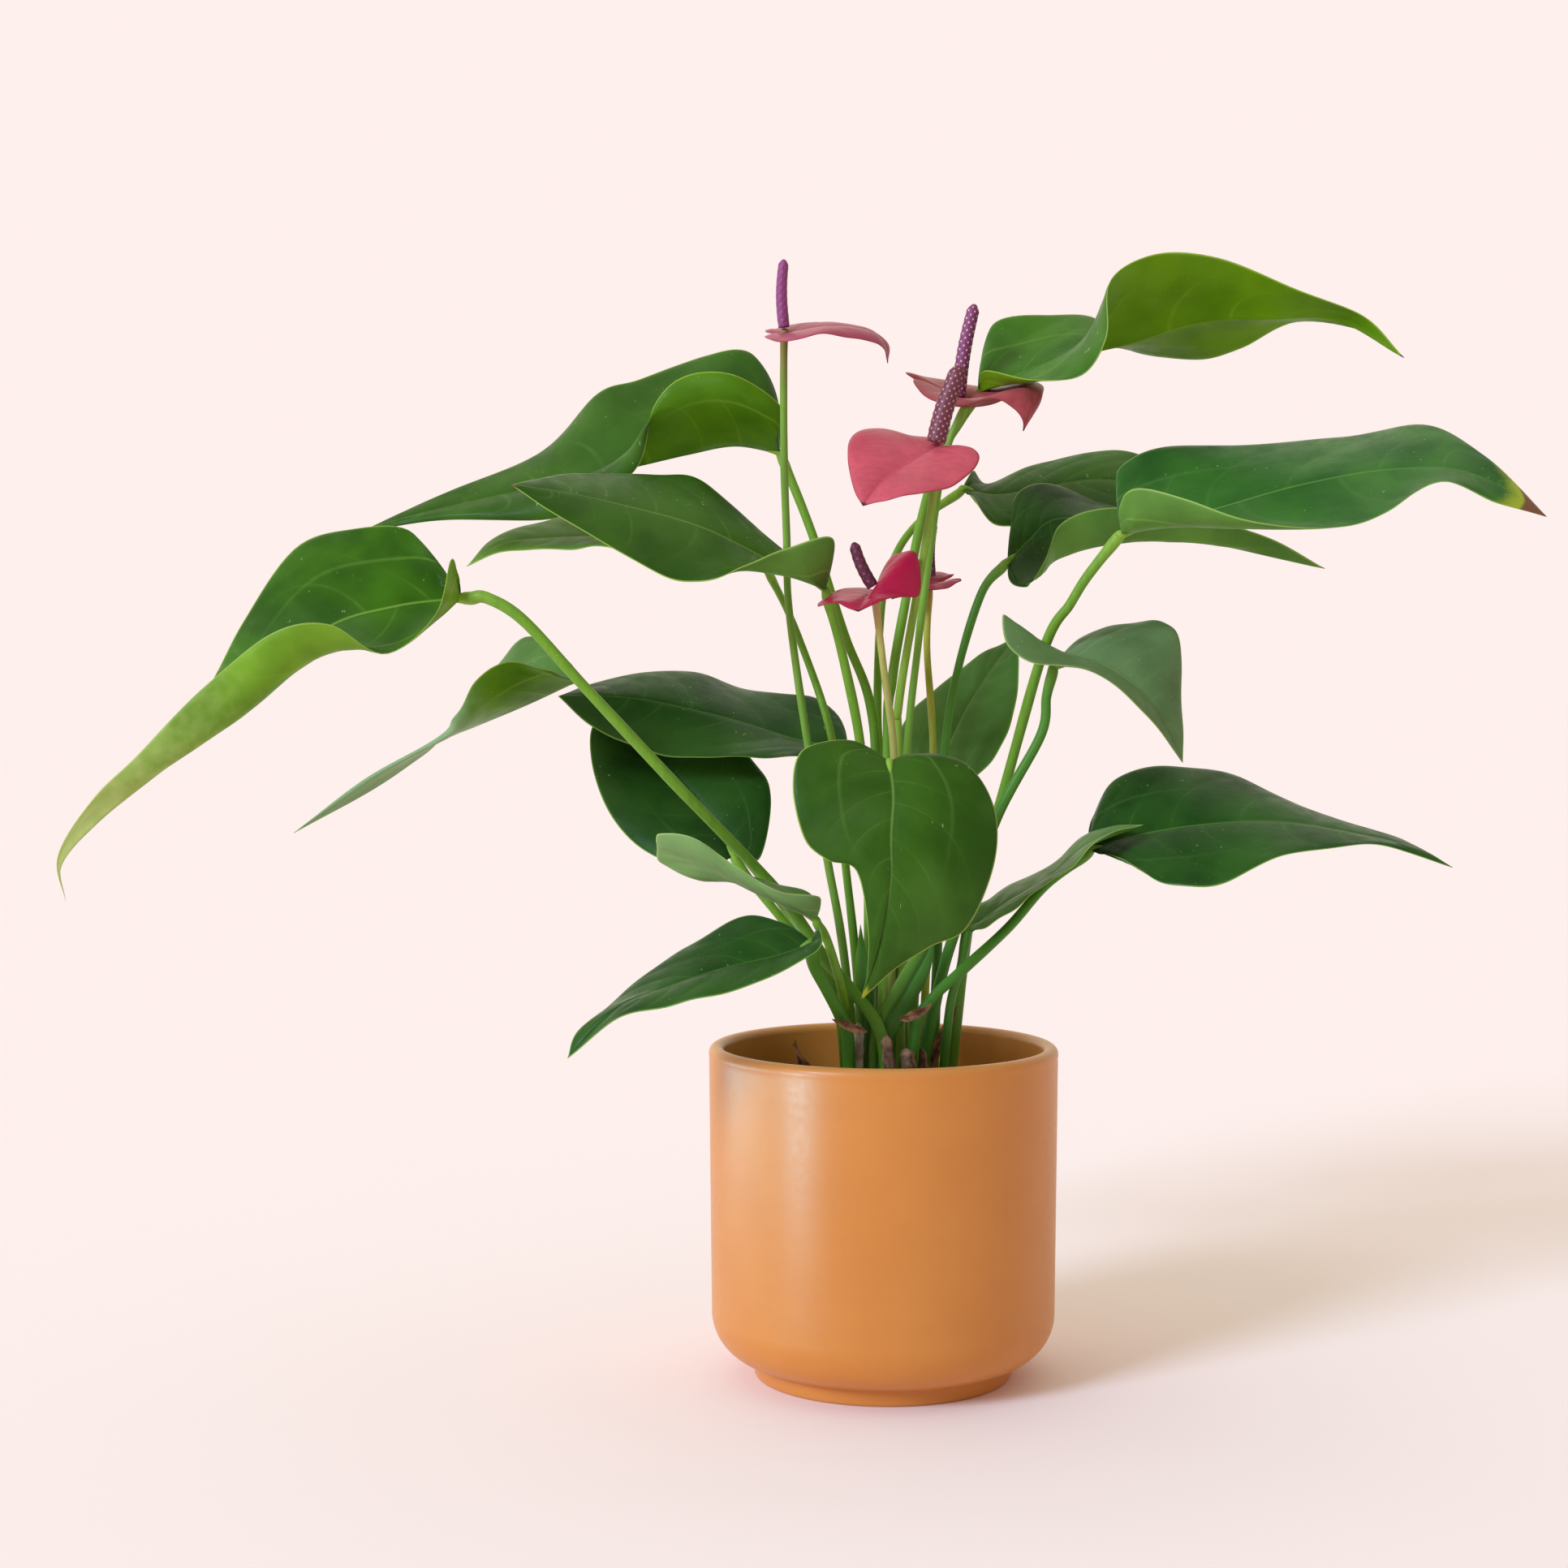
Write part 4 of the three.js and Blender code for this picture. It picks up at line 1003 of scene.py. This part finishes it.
STALK_PAINTS = {  # at the soil, half way up and at the top
    "tall_left": ("6f9a3a", "7aa03a", "8c7040"), "back": ("6f9a3a", "7ca838", "86ac40"),
    "front": ("7ca43a", "8aac3c", "a0a24c"), "low": ("9cb04c", "b8b062", "c4a070"),
    "hidden": ("a4ac3c", "b4b23e", "b8a648"),
}
for number, (name, flower) in enumerate(FLOWERS.items(), 30):
    inner, outer, edge = map(paint, SPATHE_PAINTS[name])
    faces = [spathe_finish(f"spathe_{side}_{name}", colour, edge, CUSP)
             for side, colour in (("inner", inner), ("outer", outer))]
    make_blade(f"flower_spathe_{name}", flower, faces, [f"spathe_{name}"], rows=72, strips=20,
               veins=SPATHE_VEINS, arch=0.06, swell=0.12, ripple=0.5, thickness=0.8, seed=number)
    *paints, bump = SPIKE_PAINTS[name]
    spike = make_spike(f"flower_spike_{name}", flower["spike"], flower["spike_radius"],
                       spike_finish(f"spike_{name}", *map(paint, paints)), [f"spadix_{name}"], bump)
    stalk = stem_finish(f"stalk_{name}", *map(paint, STALK_PAINTS[name]))
    make_stem(f"flower_stalk_{name}", [*flower["stem"], flower["rib"][0]], flower["stem_radius"], stalk,
              [f"stalk_{name}"], knuckle=1.1)
print("spike faces:", len(spike.data.polygons))

# %% [markdown]
# ## Pot
#
# The pot is thrown or moulded round, so its shape is one outline turned about the upright axis. The
# outline is built from straight runs and true arcs: a soft lip, a side that widens a hair towards the
# rim, a generous round into the underside and a narrow foot to stand on. A turned outline keeps all of
# these exact, where a cylinder with bevels would not.

# %% Pot
RIM_RADIUS = 65
RIM_HEIGHT = 123.5
WALL = 5.6
FOOT_RADIUS = 48
FOOT_HEIGHT = 6
CORNER = 18  # radius of the round between side and underside
INNER_CORNER = 15
POT_FLOOR = 8
POT_SEGMENTS = 160


def arc(centre, radius, start, stop, steps=10):
    """Points of an arc in the outline, with angles in degrees from the outward direction."""
    angles = np.radians(np.linspace(start, stop, steps))
    return [(centre[0] + radius * math.cos(a), centre[1] + radius * math.sin(a)) for a in angles]


def pot_outline():
    side, inside, lip = RIM_RADIUS - 1, RIM_RADIUS - WALL, WALL / 2
    groove = RIM_HEIGHT - 4.6
    foot_edge = 1.2
    meets = math.degrees(math.asin((FOOT_RADIUS + 0.7 - side + CORNER) / CORNER)) - 90
    return [
        (0, 0.4), (FOOT_RADIUS - 6, 0.4), (FOOT_RADIUS - 4, 0.05),
        *arc((FOOT_RADIUS - foot_edge, foot_edge), foot_edge, -90, 0, 5),
        (FOOT_RADIUS, FOOT_HEIGHT - 1.2), (FOOT_RADIUS + 0.15, FOOT_HEIGHT - 0.5),
        *arc((side - CORNER, FOOT_HEIGHT + CORNER), CORNER, meets, 0, 20),
        *[(side + share * 0.9, FOOT_HEIGHT + CORNER + share * (groove - FOOT_HEIGHT - CORNER - 1))
          for share in np.linspace(0.08, 1, 12)],
        (RIM_RADIUS - 0.22, groove), (RIM_RADIUS, groove + 1),
        *arc((inside + lip, RIM_HEIGHT - lip), lip, 0, 180, 17),
        *[(inside - share, RIM_HEIGHT - lip - share * (RIM_HEIGHT - lip - POT_FLOOR - INNER_CORNER))
          for share in np.linspace(0.08, 1, 12)],
        *arc((inside - 1 - INNER_CORNER, POT_FLOOR + INNER_CORNER), INNER_CORNER, 0, -90, 10)[1:],
        (0, POT_FLOOR),
    ]


def turned(outline, segments):
    """Rings of points from an outline of (radius, height), turned about the upright axis."""
    turn = np.linspace(0, 2 * np.pi, segments + 1)
    radius, height = np.array(outline, float).T
    return np.stack([radius[:, None] * np.cos(turn), radius[:, None] * np.sin(turn),
                     height[:, None].repeat(segments + 1, 1)], -1)[:, ::-1]


def pot_finish():
    """Satin glaze in tan orange, faintly mottled, with a painted highlight that lightens the rounded lip."""
    finish = Finish("pot_glaze", 0.36, IOR=1.5, Specular_IOR_Level=0.35)
    height = finish.node("SeparateXYZ")
    finish.join(finish.place(), height.inputs[0])
    z = finish.math("DIVIDE", height.outputs[2], MM)
    mottle = finish.step(finish.cloud(26, 3.0), 0.2, 0.8)
    colour = finish.mix(mottle, paint("d08238"), paint("d4873c"))
    rings = finish.cloud(9, 2.0, finish.place(stretch=(0.05, 0.05, 1.0)))
    colour = finish.mix(finish.times(finish.step(rings, 0.4, 0.7), 0.06), colour, paint("b8703a"))
    # painted highlight: the rounded lip is painted lighter where it catches the light
    lip = finish.step(z, RIM_HEIGHT - 3.5, RIM_HEIGHT - 0.5, 0.0, 0.35)
    colour = finish.mix(lip, colour, paint("d69a5c"))
    speck = finish.step(finish.cells(4, "F1"), 0.015, 0.04, 0.3, 0.0)
    colour = finish.mix(speck, colour, paint("a2642f"))
    finish.set("Base Color", colour)
    finish.set("Roughness", finish.step(finish.cloud(3, 4.0), 0.3, 0.7, 0.33, 0.39))
    finish.bump(finish.cloud(0.7, 2.0), 0.02)
    finish.bump(rings, 0.03)
    return finish


pot = skin("ceramic_pot", turned(pot_outline(), POT_SEGMENTS), {}, [pot_finish()], ["pot"])
print("pot height, mm:", round(pot.dimensions.z / MM, 1))

# %% [markdown]
# ## Shine on the pot
#
# The window shows in the glaze as one soft upright streak under the rim, with a wider and fainter shine
# beside it that pales the left third of the pot. A light can be told which pieces it falls on and which
# kind of light it gives, so two panes shine on the pot alone and only add gloss. They are low, hardly
# higher than the rim, so the inside of the pot stays dim.

# %% Shine on the pot
PANE_COLOUR = (0.3, 0.84, 1.0)
PANES = {  # place in metres, power, width and height
    "narrow_pane": ((-0.325, -0.236, 0.075), 1.15, 0.1, 0.12),
    "wide_pane": ((-0.5, 0.05, 0.065), 1.3, 0.4, 0.12),
}
shiny = bpy.data.collections.new("pieces_with_the_streak")
shiny.objects.link(pot)
for name, (place, power, width, height) in PANES.items():
    pane = light(name, "AREA", place, power, PANE_COLOUR, Vector((0, 0, place[2])),
                 shape="RECTANGLE", size=width, size_y=height)
    pane.visible_camera = False
    pane.visible_diffuse = False
    pane.light_linking.receiver_collection = shiny
print("panes:", ", ".join(PANES))

# %% [markdown]
# ## Soil
#
# The soil is hidden from the front but fills the pot when it is seen from above. It is a turned body like
# the pot, with its top broken into clods by layered waves of noise, and a few hundred crumbs and bits of
# bark pressed into it. The crumbs are lumps of the same mesh, so the soil stays one piece.

# %% Soil
SOIL_RADIUS = 58.6
SOIL_RINGS = 46
SOIL_SEGMENTS = 150
CRUMBS = 420


def soil_finish():
    finish = Finish("soil", 0.95)
    colour = finish.mix(finish.step(finish.cloud(2.2, 4.0), 0.35, 0.7), paint("1d130c"), paint("4a3423"))
    fibre = finish.step(finish.cloud(6, 2.0, finish.place(stretch=(4, 1, 1))), 0.6, 0.75, 0.0, 0.5)
    colour = finish.mix(fibre, colour, paint("7a5a3c"))
    finish.set("Base Color", colour)
    finish.bump(finish.cloud(0.9, 4.0), 0.6)
    finish.bump(finish.cells(2.0), 0.3)
    return finish


def lump(chance, radius):
    """A small rough crumb: two bent quarter turns of a ball, squashed."""
    around = np.linspace(0, 2 * np.pi, 8)
    down = np.linspace(0, np.pi, 5)
    ball = np.stack([np.outer(np.sin(down), np.cos(around)), np.outer(np.sin(down), np.sin(around)),
                     np.outer(np.cos(down), np.ones(8))], -1)
    rough = chance.uniform(0.75, 1.2, (5, 8, 1))
    rough[:, -1] = rough[:, 0]
    rough[0], rough[-1] = rough[0, 0], rough[-1, 0]
    spin = unit(chance.normal(size=(3, 3)))
    return ball[:, ::-1] * rough * radius @ (spin * chance.uniform(0.5, 1.1, (3, 1)))


def make_soil():
    chance = np.random.default_rng(11)
    radius = np.r_[0, np.linspace(0.02, 1, SOIL_RINGS) * SOIL_RADIUS, SOIL_RADIUS - 0.8, 48, 0]
    top = np.full(SOIL_RINGS + 1, SOIL_TOP)
    height = np.r_[top, 88, 60, 60]
    rings = turned(np.stack([radius, height], -1)[::-1], SOIL_SEGMENTS)
    flat = rings[..., :2] / 10
    bumps = np.zeros(rings.shape[:2])
    for scale, size in ((0.7, 0.9), (1.9, 0.5), (4.1, 0.35), (8.3, 0.2)):
        for _ in range(4):
            way = chance.normal(size=2) * scale
            bumps += size * np.sin(flat @ way + chance.uniform(0, 6)) / 2
    is_top = rings[..., 2] == SOIL_TOP
    near_wall = np.hypot(rings[..., 0], rings[..., 1]) / SOIL_RADIUS
    rings[..., 2] += is_top * (bumps - 1.5 * near_wall**4 - 0.5)
    soil = skin("potting_mix", rings, {}, [soil_finish()], ["potting_soil"])
    shape = bmesh.new()
    shape.from_mesh(soil.data)
    for _ in range(CRUMBS):
        away, turn = (SOIL_RADIUS - 4) * math.sqrt(chance.uniform()), chance.uniform(0, 2 * np.pi)
        level = SOIL_TOP + chance.uniform(-1.2, 0.6)
        centre = np.array([away * math.cos(turn), away * math.sin(turn), level])
        crumb = (lump(chance, chance.uniform(0.8, 2.6)) + centre) * MM
        corners = [[shape.verts.new(point) for point in row] for row in crumb]
        for upper, lower in zip(corners, corners[1:]):
            for i in range(len(upper) - 1):
                shape.faces.new((upper[i], lower[i], lower[i + 1], upper[i + 1]))
    bmesh.ops.remove_doubles(shape, verts=shape.verts, dist=WELD)
    shape.to_mesh(soil.data)
    shape.free()
    soil.data.shade_smooth()
    return soil


soil = make_soil()
print("soil faces:", len(soil.data.polygons))

# %% [markdown]
# ## Crown
#
# Where the stems leave the soil a few things from earlier growth remain: a stub of pale woody stem, the
# dark torn bases of old leaves, dry brown bracts that once wrapped young leaves, and green sheaths that
# still do. Bracts and sheaths are made as leaves are, but the bracts have shrunk, curl and are papery.
# The stub and the old bases are short rough tubes with folds along them and rings round them.

# %% Crown finishes
def bract_finish(name, dark, pale):
    """Dry and fibrous, blotched in two browns with darker fibres."""
    finish = Finish(name, 0.8)
    fibres = finish.cloud(2.4, 4.0, finish.place(stretch=(1, 1, 0.15)))
    blots = finish.step(finish.cloud(5, 3.0), 0.35, 0.65)
    colour = finish.mix(blots, dark, pale)
    darkest = finish.mix(0.5, dark, paint("1c120c"))
    colour = finish.mix(finish.step(fibres, 0.45, 0.65, 0.0, 0.6), colour, darkest)
    finish.set("Base Color", colour)
    finish.bump(fibres, 0.5)
    finish.bump(finish.cloud(1.0, 3.0), 0.2)
    return finish


dry_bract = bract_finish("dry_bract", paint("6e4830"), paint("b88c68"))
old_bark = bract_finish("old_bark", paint("a4988c"), paint("dcd2c6"))
dark_bark = bract_finish("dark_bark", paint("4c3628"), paint("9c7a5c"))

# %% Bracts, sheaths and stubs
CROWN = {
  "dried_bract_left": {
    "rib": [[-24, -19, 102], [-28, -19, 114], [-33, -20, 128]],
    "right": [[-29, -17, 112], [-34, -18, 124]],
    "left": [[-23, -20, 113], [-30, -22, 122]],
  },
  "dried_bract_right": {
    "rib": [[16, -6, 102], [18, -6, 119], [23, -7, 130], [27, -7, 139]],
    "right": [[18, -6, 110], [22, -6, 122], [26, -7, 132]],
    "left": [[15, -6, 112], [18, -7, 125], [23, -8, 134]],
  },
  "dried_bract_front": {
    "rib": [[4, -35, 137], [10, -35, 139], [16, -36, 143]],
    "right": [[8, -35, 136], [14, -35, 139]],
    "left": [[7, -36, 140], [12, -37, 142]],
  },
  "dried_bract_crossing": {
    "rib": [[-20, -40, 138], [-13, -39, 135], [-7, -38, 133]],
    "right": [[-17, -39, 135], [-11, -38, 132]],
    "left": [[-16, -41, 138], [-10, -40, 136]],
  },
  "green_sheath_right": {
    "rib": [[-4, -26, 103], [-3, -26, 120], [-1, -26, 133], [7, -25, 146], [15, -22, 160], [18, -21, 167]],
    "right": [[0, -26, 114], [2, -26, 127], [9, -25, 139], [16, -22, 153]],
    "left": [[-6, -26, 114], [-6, -26, 128], [-1, -26, 142], [8, -24, 157]],
  },
  "green_sheath_left": {
    "rib": [[-8, -20, 103], [-8, -19, 130], [-8, -17, 150], [-9, -16, 170]],
    "right": [[-5, -20, 116], [-5, -18, 137], [-6, -17, 154]],
    "left": [[-10, -20, 116], [-10, -18, 137], [-11, -16, 154]],
  },
}
BRACT_WIDTH = 0.8  # a dried bract has shrunk to this share of its width
BRACT_CURL = np.array([0, -0.9, 0])  # and its edges curl forward
green_sheath = [
    stem_finish("sheath_outer", paint("44762a"), paint("5c8c2e"), paint("8c7a3c")),
    stem_finish("sheath_inner", paint("4c7a2a"), paint("64902e"), paint("98703c")),
]
for number, (name, piece) in enumerate(CROWN.items(), 50):
    dried = name.startswith("dried")
    if dried:
        rib = smooth(piece["rib"], np.linspace(0, 1, 9))
        for side in ("right", "left"):
            edge = np.array(piece[side], float)
            near = rib[np.abs(edge[:, None] - rib[None]).sum(-1).argmin(1)]
            piece[side] = near + BRACT_WIDTH * (edge - near) + BRACT_CURL
    make_blade(name.replace("dried_", "brown_").replace("green_", "leaf_"), piece,
               [dry_bract, dry_bract] if dried else green_sheath, [name],
               rows=40, strips=8, fan=0, veins=3, arch=0.1,
               swell=0.1, ripple=0.9 if dried else 0.5, thickness=0.5, seed=number)

STUBS = {  # foot, bend and top, radius: one pale woody stem, and the dark torn bases of old leaves
    "old_stem_stub": ([[-10, -26, 98], [-10.3, -26, 117], [-10, -26, 135]], 2.2, old_bark),
    "old_leaf_base_front": ([[2, -35, 98], [1.5, -36, 115], [-0.5, -36.5, 132]], 1.9, dark_bark),
    "old_leaf_base_right": ([[9, -33, 98], [8, -34, 114], [7, -35.5, 127]], 2.5, dark_bark),
    "old_leaf_base_back": ([[13, -22, 98], [13, -24, 112], [12, -25, 126]], 2.4, dark_bark),
}
STUB_SIDES, STUB_ROWS, STUB_FOLDS = 24, 44, 5
share = np.linspace(0, 1, STUB_ROWS)
turn = np.linspace(0, 2 * np.pi, STUB_SIDES + 1)
for number, (name, (line, radius, finish)) in enumerate(STUBS.items(), 60):
    chance = np.random.default_rng(number)
    folds = 0.12 * np.sin(turn * STUB_FOLDS + chance.uniform(0, 6))
    rings = 0.07 * np.sin(share * 38 + chance.uniform(0, 6)) + 0.1 * np.sin(share * 11)
    rough = radius * (1 + folds + rings[:, None])
    rough *= np.sqrt(np.clip((1 - share) * 14, 0, 1))[:, None]
    rough[0] = 0
    skin(name, tube(smooth(line, share), rough, STUB_SIDES), {}, [finish], ["woody_stem"])
print("stubs:", ", ".join(STUBS))
